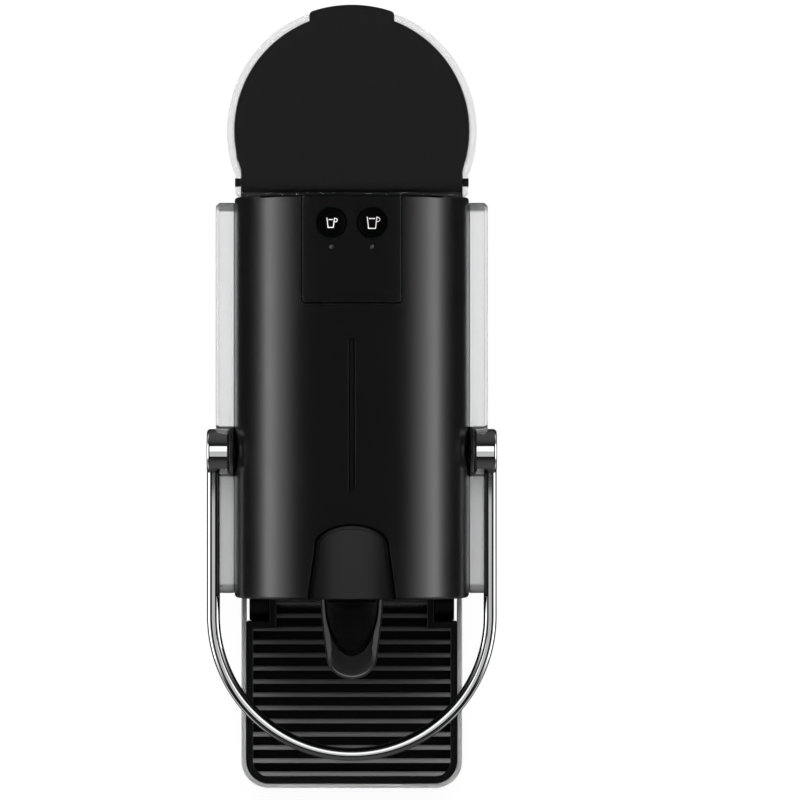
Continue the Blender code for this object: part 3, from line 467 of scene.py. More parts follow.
TRAY = make_look("tray_black", grey(0.003), 0.2, 150.0, (0.36, 0.44), Specular_IOR_Level=0.3)
RUBBER = make_look("rubber_black", grey(0.008), 0.25, 500.0, (0.6, 0.75), 0.0, 0.3, 1800.0)
CHROME = make_look("lever_chrome", (0.60, 0.603, 0.607), 0.02, 60.0, (0.03, 0.05), 1.0)
STEEL = make_look("mechanism_steel", grey(0.56), 0.1, 300.0, (0.24, 0.36), 1.0, 0.08, 900.0, (1.0, 6.0, 6.0))
ALUMINIUM = make_look("side_aluminium", (0.47, 0.472, 0.475), 0.008, 160.0, (0.058, 0.066), 0.64)
SILVER = make_look("rim_silver", (0.60, 0.602, 0.605), 0.02, 900.0, (0.35, 0.38), 0.35)
MECHANISM = make_look("mechanism_grey", grey(0.16), 0.12, 250.0, (0.45, 0.55), 0.0, 0.1, 1600.0)
HOUSING = make_look("housing_white", (0.62, 0.61, 0.58), 0.05, 250.0, (0.4, 0.5), 0.0, 0.05, 1500.0)
BOARD = make_look("board_green", (0.02, 0.11, 0.045), 0.3, 700.0, (0.35, 0.5), 0.0, 0.1, 900.0)
HEATER = make_look("heater_aluminium", grey(0.48), 0.15, 260.0, (0.4, 0.55), 1.0, 0.25, 700.0)
COIL = make_look("coil_copper", (0.42, 0.17, 0.07), 0.2, 900.0, (0.35, 0.5), 0.6, 0.3, 700.0, (1.0, 1.0, 0.2))
ICON = make_look("icon_white", (0.92, 0.92, 0.91), 0.02, 900.0, (0.45, 0.5))
LIGHT_PIPE = make_look("light_pipe", (0.05, 0.05, 0.048), 0.1, 900.0, (0.3, 0.4))
CLEAR = see_through(make_look("tank_clear", (0.88, 0.89, 0.89), 0.02, 40.0, (0.02, 0.06)), 0.04, 0.28)
SILICONE = make_look("silicone_clear", (0.8, 0.8, 0.78), 0.04, 200.0, (0.25, 0.35),
                     Transmission_Weight=0.6, IOR=1.41)


# ---------------------------------------------------------------- head

def arch(radius, bottom, steps=120):
    return [(radius, bottom)] + arc(0.0, HEAD_AXIS_Z, radius, 0, 180, steps) + [(-radius, bottom)]


def slot_outline(inset):
    flare = (SLOT_FRONT_HALF - SLOT_BACK_HALF) / (SLOT_ARCH_Y - BODY_FRONT)
    front_y = BODY_FRONT - 2.0
    front_half = SLOT_FRONT_HALF - inset + 2.0 * flare
    back_half = SLOT_BACK_HALF - inset
    side = [(front_half + (back_half - front_half) * step / 10, front_y + (SLOT_ARCH_Y - front_y) * step / 10)
            for step in range(10)]
    points = arc(0.0, SLOT_ARCH_Y, back_half, 0, 180, 63, SLOT_BACK_Y - SLOT_ARCH_Y - inset)
    return side + points + [(-x, y) for x, y in side[::-1]]


def groove_outline(inset):
    middle = GROOVE_WIDTH / 2
    return (arc(0.0, GROOVE_BACK_Y - middle, middle - inset, 0, 180, 16)
            + arc(0.0, GROOVE_FRONT_Y + middle, middle - inset, 180, 360, 16))


def keypad_outline(inset):
    """A rounded rectangle whose edges across the head are split up, so that they can follow the arch."""
    half, corner, back_y = KEYPAD_HALF - inset, 1.3 - inset, BODY_BACK + 5.0
    points = rounded_rectangle(-half, half, KEYPAD_FRONT_Y + inset, back_y, corner, 6)
    reach = [(half - corner) * (1 - step / 12) for step in range(1, 24)]
    return (points[:7] + [(x, back_y) for x in reach] + points[7:21]
            + [(-x, KEYPAD_FRONT_Y + inset) for x in reach] + points[21:])


def arch_tool(outline, levels):
    """A block through the top of the head; each level is (inset, depth under the arch)."""
    rings = []
    for inset, depth in levels:
        reach = HEAD_RADIUS - depth
        rings.append([Vector((x, y, HEAD_AXIS_Z + math.sqrt(reach * reach - x * x)))
                      for x, y in outline(inset)])
    return skin(rings)


def opening_levels(edge, inset=0.0):
    """Levels that leave a rounded edge of about the given radius where a cut meets the arch."""
    round_edge = [(inset - edge * (1 - math.cos(t)), edge * (1 - math.sin(t)))
                  for t in (0.0, math.pi / 6, math.pi / 3)]
    return round_edge + [(inset - 1.1 * edge, -0.05), (inset - 1.1 * edge, TOOL_ABOVE)]


def make_shell():
    front = [(inset, BODY_FRONT + drop) for inset, drop in fillet(SHELL_FRONT_EDGE, 5)]
    back = [(inset, BODY_BACK - drop) for inset, drop in fillet(SHELL_BACK_EDGE, 5)][::-1]
    levels = front + back + [(SHELL_WALL, BODY_BACK), (SHELL_WALL, BODY_FRONT)]
    rows = levelled(lambda inset: arch(HEAD_RADIUS - inset, HEAD_BOTTOM), "XZ", levels)
    shell = new_object("top_shell_piece", skin(rows, around=False, along=True))
    slot = [(SLOT_TAPER, TOOL_BELOW), (SLOT_TAPER, SHELL_WALL)] + opening_levels(SLOT_EDGE)
    keypad = [(-GAP, TOOL_BELOW)] + opening_levels(KEYPAD_EDGE, -GAP)
    groove = [((GROOVE_WIDTH - GROOVE_FLOOR) / 2, GROOVE_DEPTH)] + opening_levels(GROOVE_EDGE)
    cut(shell, arch_tool(keypad_outline, keypad), arch_tool(groove_outline, groove),
        rod("X", (0.0, PIVOT_Y, PIVOT_Z), PIVOT_HOLE, -60.0, 60.0), arch_tool(slot_outline, slot))
    smooth(shell)
    round_normals(shell, HEAD_RADIUS)
    add_piece("top_shell_piece", shell, "machine", SHELL, ["top_shell"])


def curved_plate(radius, wall, half, front_y, back_y, front_edge, back_edge, steps=40):
    """A plate bent round the head's axis, with rounded front and back edges."""
    reach = math.degrees(math.asin(half / radius))
    levels = [(inset, front_y + drop) for inset, drop in fillet(front_edge, 3)]
    levels += [(inset, back_y - drop) for inset, drop in fillet(back_edge, 5)][::-1]
    levels += [(wall, back_y), (wall, front_y)]

    def outline(inset):
        return arc(0.0, HEAD_AXIS_Z, radius - inset, 90 - reach, 90 + reach, steps)

    return skin(levelled(outline, "XZ", levels), around=False, along=True)


def make_door():
    """A lowered sheet under the shell, a pad that rises into the slot, and a web down to the carriage."""
    sheet = curved_plate(DOOR_RADIUS - DOOR_SHEET_DROP, DOOR_WALL - DOOR_SHEET_DROP, DOOR_HALF, DOOR_FRONT_Y,
                         DOOR_BACK_Y, 0.1, 0.1)
    add_piece("capsule_door_piece", sheet, "carriage", DOOR, ["capsule_door"])
    pad = new_object("capsule_door_pad", curved_plate(DOOR_RADIUS, DOOR_WALL - 0.3, DOOR_HALF, DOOR_FRONT_Y,
                                                      DOOR_BACK_Y, 0.6, 0.3))
    edge = [(0.0, 2.9), (0.04, 2.75), (0.15, 2.64), (0.3, 2.58), (0.33, TOOL_ABOVE)]
    levels = [(DOOR_PAD_INSET, TOOL_BELOW)] + [(DOOR_PAD_INSET + inset, depth) for inset, depth in edge]
    join_cut(pad, arch_tool(slot_outline, levels), "INTERSECT")
    smooth(pad)
    round_normals(pad, DOOR_RADIUS)
    add_piece("capsule_door_pad", pad, "carriage", DOOR)
    web_top = HEAD_AXIS_Z + DOOR_RADIUS - DOOR_WALL - 0.05
    web = box((-2.5, DOOR_BACK_Y - 3.0, 206.6), (2.5, DOOR_BACK_Y - 0.5, web_top))
    add_piece("capsule_door_web", web, "carriage", DOOR)


def button_tilt(side):
    return side * math.degrees(math.asin(BUTTON_X / HEAD_RADIUS))


def stroke(path, width, low, high, closed=False):
    """A raised line of constant width along a plan path."""
    points = [Vector(point) for point in path]
    count = len(points)
    sides = ([], [])
    for index, here in enumerate(points):
        before = points[index - 1] if index or closed else None
        after = points[(index + 1) % count] if index < count - 1 or closed else None
        first = (here - before).normalized() if before is not None else (after - here).normalized()
        second = (after - here).normalized() if after is not None else first
        normal = Vector((-first.y - second.y, first.x + second.x)).normalized()
        reach = width / 2 / max(0.5, normal.dot(Vector((-first.y, first.x))))
        sides[0].append(here + normal * reach)
        sides[1].append(here - normal * reach)
    rows = [[in_space(point, "XY", height) for point in side]
            for side, height in ((sides[0], low), (sides[0], high), (sides[1], high), (sides[1], low))]
    if not closed:
        return skin(rows, around=False, along=True)
    return skin(rows, along=True)


def cup_symbol(height, top_half, bottom_half, across, side, base):
    """A plain cup outline: open body, liquid line and a handle on its right."""
    line = 0.34
    half_height = height / 2
    body = [(-top_half, half_height), (-bottom_half, -half_height), (bottom_half, -half_height),
            (top_half, half_height)]
    level = half_height - 0.75
    inside = top_half - 0.7
    radius = height * 0.17
    handle = [(top_half + 0.1, half_height - 0.25)]
    handle += arc(top_half + 0.45, half_height - 0.35 - radius, radius, 70, -90, 10)
    handle += [(top_half - 0.25, half_height - 0.4 - 2 * radius)]
    symbol = merged(stroke(body, line, base, base + 0.12),
                    stroke([(-inside, level), (inside, level)], line, base, base + 0.12),
                    stroke(handle, line * 0.9, base, base + 0.12))
    symbol.transform(Matrix.Translation((across, BUTTON_Y, HEAD_AXIS_Z)))
    return turn_about_head(symbol, button_tilt(side))


# Height, half widths at the top and bottom, and place across the button.
CUP_SYMBOLS = {"small": (3.9, 1.55, 1.05, -0.45), "large": (4.7, 1.95, 1.45, 0.1)}


def make_controls():
    plate = new_object("control_panel_piece", curved_plate(HEAD_RADIUS, KEYPAD_WALL, KEYPAD_HALF + 1.0,
                                                           KEYPAD_FRONT_Y - 1.0, BODY_BACK, 0.2, 1.2))
    edge = [(0.0, 0.3), (0.04, 0.15), (0.15, 0.04), (0.33, -0.05), (0.33, TOOL_ABOVE)]
    join_cut(plate, arch_tool(keypad_outline, [(0.0, TOOL_BELOW)] + edge), "INTERSECT")
    for side in (LEFT, RIGHT):
        hole = rod("Z", (0.0, BUTTON_Y, HEAD_AXIS_Z), BUTTON_RADIUS + GAP, 30.0, 60.0, 72)
        cut(plate, turn_about_head(hole, button_tilt(side)))
        hole = rod("Z", (0.0, LIGHT_Y, HEAD_AXIS_Z), LIGHT_RADIUS + 0.15, 30.0, 60.0, 24)
        cut(plate, turn_about_head(hole, button_tilt(side)))
    smooth(plate)
    round_normals(plate, HEAD_RADIUS)
    add_piece("control_panel_piece", plate, "machine", KEYPAD, ["control_panel"])
    top = HEAD_RADIUS - 0.6
    for side, size, place in ((LEFT, "small", "left"), (RIGHT, "large", "right")):
        dish = top - 0.6
        profile = [(3.0, dish), (4.0, dish + 0.08), (4.8, dish + 0.24), (5.4, dish + 0.46), (5.7, top - 0.06),
                   (5.9, top - 0.12), (BUTTON_RADIUS, top - 0.4), (BUTTON_RADIUS, 43.0), (2.0, 43.0),
                   (2.0, 38.0)]
        mesh = turned(profile, "Z", (0.0, BUTTON_Y, HEAD_AXIS_Z), 72)
        add_piece(f"button_{size}_piece", turn_about_head(mesh, button_tilt(side)), f"{size}_button", BUTTON,
                  [f"button_{size}"])
        symbol = cup_symbol(*CUP_SYMBOLS[size], side, dish - 0.02)
        add_piece(f"cup_symbol_{size}", symbol, f"{size}_button", ICON)
        pipe = turned([(LIGHT_RADIUS, 30.5), (LIGHT_RADIUS, HEAD_RADIUS - 0.3), (0.8, HEAD_RADIUS - 0.1),
                       (0.4, HEAD_RADIUS)], "Z", (0.0, LIGHT_Y, HEAD_AXIS_Z), 24)
        add_piece(f"light_{place}_piece", turn_about_head(pipe, button_tilt(side)), "machine", LIGHT_PIPE,
                  [f"light_{place}"])


# ---------------------------------------------------------------- side panels, lever and bushes

def panel_outline(inset=0.0):
    top, notch = PANEL_TOP - inset, NOTCH_RADIUS + inset
    front, back, bottom = PANEL_FRONT + inset, PANEL_BACK - inset, PANEL_BOTTOM + inset
    corner = PANEL_CORNER - inset
    start = math.degrees(math.asin((PIVOT_Z - top) / notch))
    return (arc(back - corner, top - corner, corner, 0, 90, 8)
            + arc(PIVOT_Y, PIVOT_Z, notch, -start, start - 180, 32)
            + arc(front + corner, top - corner, corner, 90, 180, 8)
            + arc(front + corner, bottom + corner, corner, 180, 270, 8)
            + arc(back - corner, bottom + corner, corner, 270, 360, 8))


def make_panel(side, place):
    """A tray-shaped panel: open on its inner side, with a chamfer round its outer face."""
    levels = [(PANEL_WALL, PANEL_OUT - PANEL_WALL), (PANEL_WALL, PANEL_IN), (0.15, PANEL_IN),
              (0.0, PANEL_IN + 0.15), (0.0, PANEL_OUT - 1.5), (0.05, PANEL_OUT - 1.34),
              (0.15, PANEL_OUT - 1.2), (1.15, PANEL_OUT - 0.17), (1.3, PANEL_OUT - 0.06), (1.45, PANEL_OUT)]
    mesh = skin(levelled(panel_outline, "YZ", [(inset, side * across) for inset, across in levels]))
    add_piece(f"panel_{place}_piece", mesh, "machine", ALUMINIUM, [f"panel_{place}"])


def make_lever():
    half_width, half_height = (LEVER_OUT - LEVER_IN) / 2, LEVER_HEIGHT / 2
    section = rounded_rectangle(-half_width, half_width, -half_height, half_height, half_width - 0.03, 12)
    middle = (LEVER_OUT + LEVER_IN) / 2
    up = Vector((0.0, 0.0, 1.0))

    def section_at(across, centre):
        return [centre + across * a + up * b for a, b in section]

    rings = [section_at(Vector((-1.0, 0.0, 0.0)), Vector((-middle, PIVOT_Y - 3.0, PIVOT_Z)))]
    for a, b in arc(0.0, 0.0, 1.0, 180, 360, 120):
        outwards = Vector((a, b, 0.0))
        rings.append(section_at(outwards, Vector((0.0, LEVER_BEND_Y, PIVOT_Z)) + outwards * middle))
    rings.append(section_at(Vector((1.0, 0.0, 0.0)), Vector((middle, PIVOT_Y - 3.0, PIVOT_Z))))
    lever = new_object("lever_piece", skin(rings))
    for side in (LEFT, RIGHT):
        profile = [(BARREL_RADIUS - inset, BARREL_IN + drop) for inset, drop in fillet(0.9, 4)]
        profile += [(BARREL_RADIUS - inset, LEVER_OUT - drop) for inset, drop in fillet(1.5, 6)][::-1]
        profile += [(5.8, LEVER_OUT), (5.4, LEVER_OUT - 0.35), (5.0, LEVER_OUT - 0.35)]
        pivot = (0.0, PIVOT_Y, PIVOT_Z)
        unite(lever, turned([(radius, side * along) for radius, along in profile], "X", pivot, 96))
        cut(lever, rod("X", pivot, BUSH_BORE, *sorted((side * (BARREL_IN - 5.0), side * 54.5))))
    smooth(lever)
    add_piece("lever_piece", lever, "lever_loop", CHROME, ["lever"])


def make_bush(side, place):
    outer = BARREL_IN - GAP
    profile = [(BUSH_BORE, 43.6), (5.0, 43.6), (5.0, PANEL_IN)]
    profile += [(BUSH_RADIUS - inset, PANEL_IN + drop) for inset, drop in fillet(0.4, 3)]
    profile += [(BUSH_RADIUS - inset, outer - drop) for inset, drop in fillet(0.5, 3)][::-1]
    profile += [(BUSH_BORE, outer)]
    mesh = ring([(radius, side * along) for radius, along in profile], "X", (0.0, PIVOT_Y, PIVOT_Z), 72)
    add_piece(f"pivot_bush_{place}_piece", mesh, "machine", TRIM, [f"pivot_bush_{place}"])


# ---------------------------------------------------------------- coffee outlet

def outlet_outline(scale, height, inset):
    """A ring of the outlet: its plan shrinks towards the head by scale, and by inset all round."""
    back_y = BODY_FRONT - GAP
    half_back, half_front = OUTLET_HALF_BACK * scale - inset, OUTLET_HALF_FRONT * scale - inset
    bend_y = back_y + (OUTLET_BEND_Y - back_y) * scale
    tip = (OUTLET_BEND_Y - OUTLET_TIP_Y) * scale - inset
    sides = 8
    left = [(-half_back + (half_back - half_front) * (step / sides) ** 1.4,
             back_y + (bend_y - back_y) * step / sides) for step in range(sides)]
    points = left + arc(0.0, bend_y, half_front, 180, 360, 48, tip) + [(-x, y) for x, y in left[::-1]]
    return [in_space(point, "XY", height) for point in points]


def tongue_outline(tip_y, half):
    back_y = BODY_FRONT - GAP
    start_y = back_y - 0.8
    return [(-half, back_y)] + arc(0.0, start_y, half, 180, 360, 48, start_y - tip_y) + [(half, back_y)]


def make_outlet():
    levels = [(0.80, OUTLET_BOTTOM, 0.5), (0.81, OUTLET_BOTTOM + 0.5, 0.0), (0.92, 147.0, 0.0),
              (0.985, 155.0, 0.0), (1.0, 162.0, 0.0), (0.99, 166.5, 0.0), (0.965, 168.6, 0.0),
              (0.955, 169.2, 0.15), (0.94, 169.5, 0.5), (0.90, 170.4, 0.6), (0.86, OUTLET_TOP - 1.0, 0.8)]
    mesh = skin([outlet_outline(*level) for level in levels])
    outlet = new_object("coffee_outlet_piece", mesh)
    cut(outlet, rod("Z", (0.0, -94.0, 0.0), 3.0, 130.0, 160.0, 32),
        prism(tongue_outline(TONGUE_TIP_Y - 2.4, 11.2), "XY", 158.0, 180.0))
    bevel(outlet, 0.25, 2, 50.0)
    smooth(outlet)
    add_piece("coffee_outlet_piece", outlet, "machine", OUTLET, ["coffee_outlet"])
    spout = ring([(2.4, OUTLET_BOTTOM - 4.8), (4.3, OUTLET_BOTTOM - 4.8), (4.6, OUTLET_BOTTOM - 4.4),
                  (4.6, OUTLET_BOTTOM - GAP), (2.4, OUTLET_BOTTOM - GAP)], "Z", (0.0, -94.0, 0.0), 40)
    add_piece("coffee_spout_piece", spout, "machine", TRIM, ["coffee_spout"])
    # Each ring of the tongue, from below: its height, the place of its tip and half its width.
    shape = ((159.0, TONGUE_TIP_Y, 10.4), (170.9, TONGUE_TIP_Y, 10.5), (171.4, TONGUE_TIP_Y + 0.15, 10.5),
             (171.8, TONGUE_TIP_Y + 0.6, 10.5), (174.0, -96.7, 10.5), (180.0, -92.0, 10.3),
             (190.0, -85.2, 10.1), (202.0, -80.5, 9.9), (214.8, -78.6, 9.7), (216.0, -78.2, 9.2))
    rings = [[in_space(point, "XY", height) for point in tongue_outline(tip_y, half)]
             for height, tip_y, half in shape]
    add_piece("outlet_tongue_piece", skin(rings), "machine", TONGUE, ["outlet_tongue"])


# ---------------------------------------------------------------- cup support

def support_path(half, front_y, corner, back_y):
    """Plan of a U that is open towards the machine, from its right end round to its left end."""
    right = arc(half - corner, front_y + corner, corner, 0, -90, 16)
    left = arc(-half + corner, front_y + corner, corner, -90, -180, 16)
    return [(half, back_y)] + right + left + [(-half, back_y)]


def make_rim():
    levels = [(0.25, RIM_BOTTOM), (0.0, RIM_BOTTOM + 0.25)]
    levels += [(inset, RIM_TOP - drop) for inset, drop in fillet(0.6, 4)][::-1]
    levels += [(RIM_WALL - inset, RIM_TOP - drop) for inset, drop in fillet(0.3, 2)]
    levels += [(RIM_WALL, RIM_BOTTOM + 0.25), (RIM_WALL - 0.25, RIM_BOTTOM)]

    def outline(inset):
        return support_path(RIM_HALF - inset, RIM_FRONT_Y + inset, RIM_CORNER - inset, RIM_BACK_Y)

    mesh = skin(levelled(outline, "XY", levels), around=False, along=True)
    add_piece("support_rim_piece", mesh, "cup_support", SILVER, ["support_rim"])


def tray_outline(half, front_y, corner, shoulder_y, neck_half, back_y):
    neck = [(neck_half, shoulder_y), (neck_half, back_y), (-neck_half, back_y), (-neck_half, shoulder_y)]
    return support_path(half, front_y, corner, shoulder_y)[::-1] + neck


def make_grid():
    shoulder_y = HINGE_Y - HINGE_BLOCK_RADIUS - 0.4
    front_y = RIM_FRONT_Y + RIM_WALL + 0.1
    corner = RIM_CORNER - RIM_WALL - 0.1
    neck_half = HINGE_BLOCK_IN - GAP
    high = RIM_TOP - 0.4

    def outline(inset):
        return tray_outline(GRID_HALF - inset, front_y + inset, corner - inset, shoulder_y - inset,
                            neck_half - inset, RIM_BACK_Y - inset)

    levels = [(0.0, GRID_BOTTOM)] + [(inset, high - drop) for inset, drop in fillet(0.35, 3)][::-1]
    levels += [(GRID_BAR - inset, high - drop) for inset, drop in fillet(0.5, 3)] + [(GRID_BAR, GRID_BOTTOM)]
    bar = skin(levelled(outline, "XY", levels), along=True)
    add_piece("drip_grid_frame", bar, "grid", TRAY, ["drip_grid"])
    # Each slat rises in a curve from its rear edge to a crisp front edge.
    front, rear = -SLAT_WIDTH / 2, SLAT_WIDTH / 2
    section = [(front, GRID_BOTTOM + 0.5), (rear, GRID_BOTTOM + 0.5)]
    section += arc(front + 0.5, high - 2.8, rear - front - 0.5, 0, 90, 10, 2.4)
    section += [(front + 0.15, high - 0.42), (front, high - 0.6)]
    inner_corner = corner - GRID_BAR
    slats = []
    for index in range(SLAT_COUNT):
        slat_y = SLAT_FRONT_Y + index * SLAT_PITCH
        ends = [(neck_half if slat_y > shoulder_y else GRID_HALF) - 1.0] * len(section)
        if index == 0:
            middle_y = front_y + GRID_BAR + inner_corner
            ends = [GRID_HALF - GRID_BAR - inner_corner + 0.3
                    + math.sqrt(inner_corner ** 2 - (slat_y + y - middle_y) ** 2) for y, z in section]
        slats.append(skin([[Vector((side * end, slat_y + y, z)) for end, (y, z) in zip(ends, section)]
                           for side in (LEFT, RIGHT)]))
    thing = add_piece("drip_grid_slats", merged(*slats), "grid", SLATS_PAINTED_SHEEN)
    for group in (SLATS_ONLY, ALL_BUT_SLATS):
        group.objects.link(thing)
    ALL_BUT_SLATS.collection_objects[0].light_linking.link_state = "EXCLUDE"


# ---------------------------------------------------------------- water tank

def tank_outline(inset):
    radius, half = TANK_RADIUS - inset, TANK_HALF - inset
    start = math.degrees(math.acos(half / radius))
    outline = arc(0.0, TANK_Y, radius, -start, 180 + start, 128)
    return outline + [(-half, TANK_FRONT_Y + inset), (half, TANK_FRONT_Y + inset)]


def make_tank():
    levels = [(TANK_TAPER + 0.8, TANK_BOTTOM), (TANK_TAPER, TANK_BOTTOM + 0.8)]
    levels += [(inset, TANK_RIM - drop) for inset, drop in fillet(0.6, 4)][::-1]
    levels += [(TANK_WALL - 0.3, TANK_RIM), (TANK_WALL, TANK_RIM - 0.3), (TANK_WALL, TANK_LEDGE),
               (TANK_WALL + 2.4, TANK_LEDGE), (TANK_WALL + 2.4, TANK_LEDGE - 2.4),
               (TANK_WALL, TANK_LEDGE - 5.0), (TANK_WALL + TANK_TAPER, TANK_FLOOR + 1.0),
               (TANK_WALL + TANK_TAPER + 1.0, TANK_FLOOR)]
    tank = new_object("water_tank_piece", skin(levelled(tank_outline, "XY", levels)))
    cut(tank, box((-60.0, 80.0, TANK_LEDGE), (60.0, 95.6, 240.0)),
        box((-LID_TAB_HALF - 0.5, 150.0, TANK_LEDGE), (LID_TAB_HALF + 0.5, 170.0, 240.0)),
        rod("Z", (0.0, VALVE_Y, 0.0), 3.3, 50.0, 70.0, 32))
    smooth(tank)
    add_piece("water_tank_piece", tank, "tank", CLEAR, ["water_tank"])


def lid_outline(inset):
    radius = LID_RADIUS - inset
    half = LID_HALF - inset
    start = math.degrees(math.acos(half / radius))
    tab = LID_TAB_HALF - inset
    shoulder = math.degrees(math.acos(tab / radius))
    crown = LID_TAB_Y - TANK_Y - inset
    corner = 2.0 - inset * 0.5
    corner_x = tab - corner
    corner_y = math.sqrt((crown - corner) ** 2 - corner_x ** 2)
    turn = math.degrees(math.atan2(corner_y, corner_x))
    outline = arc(0.0, TANK_Y, radius, -start, shoulder, 48)
    outline += arc(corner_x, TANK_Y + corner_y, corner, 0, turn, 6)
    outline += arc(0.0, TANK_Y, crown, turn, 180 - turn, 16)[1:-1]
    outline += arc(-corner_x, TANK_Y + corner_y, corner, 180 - turn, 180, 6)
    outline += arc(0.0, TANK_Y, radius, 180 - shoulder, 180 + start, 48)
    return outline + [(-half, LID_HINGE_Y + inset), (half, LID_HINGE_Y + inset)]


def make_lid():
    bottom = TANK_LEDGE + GAP
    levels = [(2.0, LID_TOP - LID_WALL), (2.0, bottom), (0.0, bottom)]
    levels += [(inset, LID_TOP - drop) for inset, drop in fillet(0.5, 4)][::-1]
    lid = new_object("tank_lid_piece", skin(levelled(lid_outline, "XY", levels)))
    pivot = (0.0, LID_HINGE_Y, LID_HINGE_Z)
    unite(lid, rod("X", pivot, LID_BARREL_RADIUS, -LID_HALF, LID_HALF, 48))
    cut(lid, rod("X", pivot, 1.8, -60.0, 60.0, 24))
    smooth(lid, 30.0)
    add_piece("tank_lid_piece", lid, "lid", LID, ["tank_lid"])


# ---------------------------------------------------------------- CAD shapes with softened edges

def soften_node(node, body, look, width):
    """A copy of a CAD node's mesh with its edges rounded, shown in its place."""
    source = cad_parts[node]
    mesh = bmesh.new()
    mesh.from_mesh(source.data)
    mesh.transform(Matrix.Scale(1 / MM, 4))
    bmesh.ops.remove_doubles(mesh, verts=mesh.verts, dist=0.002)
    bmesh.ops.dissolve_limit(mesh, angle_limit=math.radians(0.6), verts=mesh.verts, edges=mesh.edges)
    thing = new_object(node + "_piece", mesh)
    bevel(thing, width, 2, 35.0)
    smooth(thing)
    add_piece(node + "_piece", thing, body, look, [node])


def make_softened():
    for node, body, look, width in (
            ("head_front", "machine", SHELL, 0.4), ("rear_cover", "machine", TRIM, 0.4),
            ("frame_left", "machine", TRIM, 0.4), ("frame_right", "machine", TRIM, 0.4),
            ("tank_plinth", "machine", TRIM, 0.6), ("base_plate", "machine", TRIM, 0.5),
            ("capsule_container", "maintenance_unit", SHELL, 0.4),
            ("drip_tray", "maintenance_unit", TRAY, 0.4), ("cup_tray", "cup_support", TRAY, 0.3),
            ("lid_pin", "tank", TRIM, 0.15), ("cord_gland", "machine", RUBBER, 0.3)):
        soften_node(node, body, look, width)


def dress_nodes():
    """Materials for the CAD nodes that are shown as they are."""
    corners = ("front_left", "front_right", "rear_left", "rear_right")
    looks = {
        TRIM: ["head_floor"],
        RUBBER: [f"foot_{corner}" for corner in corners],
        STEEL: [f"base_screw_{corner}" for corner in corners] + [
            "crank_left", "crank_right", "link_left", "link_right", "extraction_plate", "hinge_pin"],
        MECHANISM: ["brew_frame", "capsule_guide", "injector_cage", "pump_cradle", "valve_coupling",
                    "heater_saddle"],
        HOUSING: ["flow_meter", "pump_body"],
        COIL: ["pump_coil"],
        BOARD: ["control_board"],
        HEATER: ["thermoblock"],
        SILICONE: ["hose_meter_to_pump", "hose_pump_to_heater", "hose_tank_to_meter", "tank_valve"],
    }
    for look, names in looks.items():
        for name in names:
            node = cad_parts[name]
            node.data.materials.clear()
            node.data.materials.append(look)


# ---------------------------------------------------------------- camera, light and floor

# Lengths from here on are in metres, apart from the lens and its sensor.
CAMERA_HEIGHT = 2.835
CAMERA_Y = 0.00385
CAMERA_LENS = 292.5
CAMERA_SENSOR = 36.0
CAMERA_SHIFT = 0.06025
FLOOR_COLOUR = 0.9
FLOOR_GLOW = 1.06
FLOOR_GLOW_SHARE = 0.9


def make_camera():
    data = bpy.data.cameras.new("camera")
    data.lens = CAMERA_LENS
    data.sensor_width = CAMERA_SENSOR
    data.shift_x = CAMERA_SHIFT
    data.clip_end = 20.0
    camera = bpy.data.objects.new("camera", data)
    camera.location = (0.0, CAMERA_Y, CAMERA_HEIGHT)
    bpy.context.scene.collection.objects.link(camera)
    bpy.context.scene.camera = camera
    bpy.context.scene.view_settings.view_transform = "Standard"


def make_floor():
    """A pale floor, partly self-lit, that only the camera sees, straight on or through clear pieces."""
    mesh = bmesh.new()
    bmesh.ops.create_grid(mesh, x_segments=1, y_segments=1, size=20000.0)
    floor = new_object("floor", mesh)
    look = bpy.data.materials.new("floor_white")
    look.use_nodes = True
    nodes, links = look.node_tree.nodes, look.node_tree.links
    nodes.clear()
    out = nodes.new("ShaderNodeOutputMaterial")
    paper = nodes.new("ShaderNodeBsdfDiffuse")
    paper.inputs["Color"].default_value = (*grey(FLOOR_COLOUR), 1.0)
    glow = nodes.new("ShaderNodeEmission")
    glow.inputs["Strength"].default_value = FLOOR_GLOW
    both = nodes.new("ShaderNodeMixShader")
    both.inputs["Fac"].default_value = FLOOR_GLOW_SHARE
    links.new(paper.outputs[0], both.inputs[1])
    links.new(glow.outputs[0], both.inputs[2])
    path = nodes.new("ShaderNodeLightPath")
    seen = nodes.new("ShaderNodeMath")
    seen.operation = "MAXIMUM"
    links.new(path.outputs["Is Camera Ray"], seen.inputs[0])
    links.new(path.outputs["Is Transmission Ray"], seen.inputs[1])
    clear = nodes.new("ShaderNodeBsdfTransparent")
    pick = nodes.new("ShaderNodeMixShader")
    links.new(seen.outputs[0], pick.inputs["Fac"])
    links.new(clear.outputs[0], pick.inputs[1])
    links.new(both.outputs[0], pick.inputs[2])
    links.new(pick.outputs[0], out.inputs["Surface"])
    floor.data.materials.append(look)
    floor.visible_shadow = False


# Brightness of the studio seen in reflections, by the angle away from straight up across the machine.
STUDIO = ((0, 0.008), (46, 0.008), (51, 0.1), (55, 0.25), (62, 0.7), (69, 1.4), (74, 1.8), (94, 1.8),
          (98, 1.4), (105, 0.35), (116, 0.06), (128, 0.04), (180, 0.04))
STUDIO_TOP = 2.0
# Towards the two ends of the machine: near and far, and low down and askew.
STUDIO_ENDS = (0.015, 0.09)
STUDIO_LOW = 0.8
# What the camera sees behind everything, and what lights matt surfaces.
BACKDROP = 1.0
FILL_ABOVE, FILL_SIDE = 0.03, 0.2


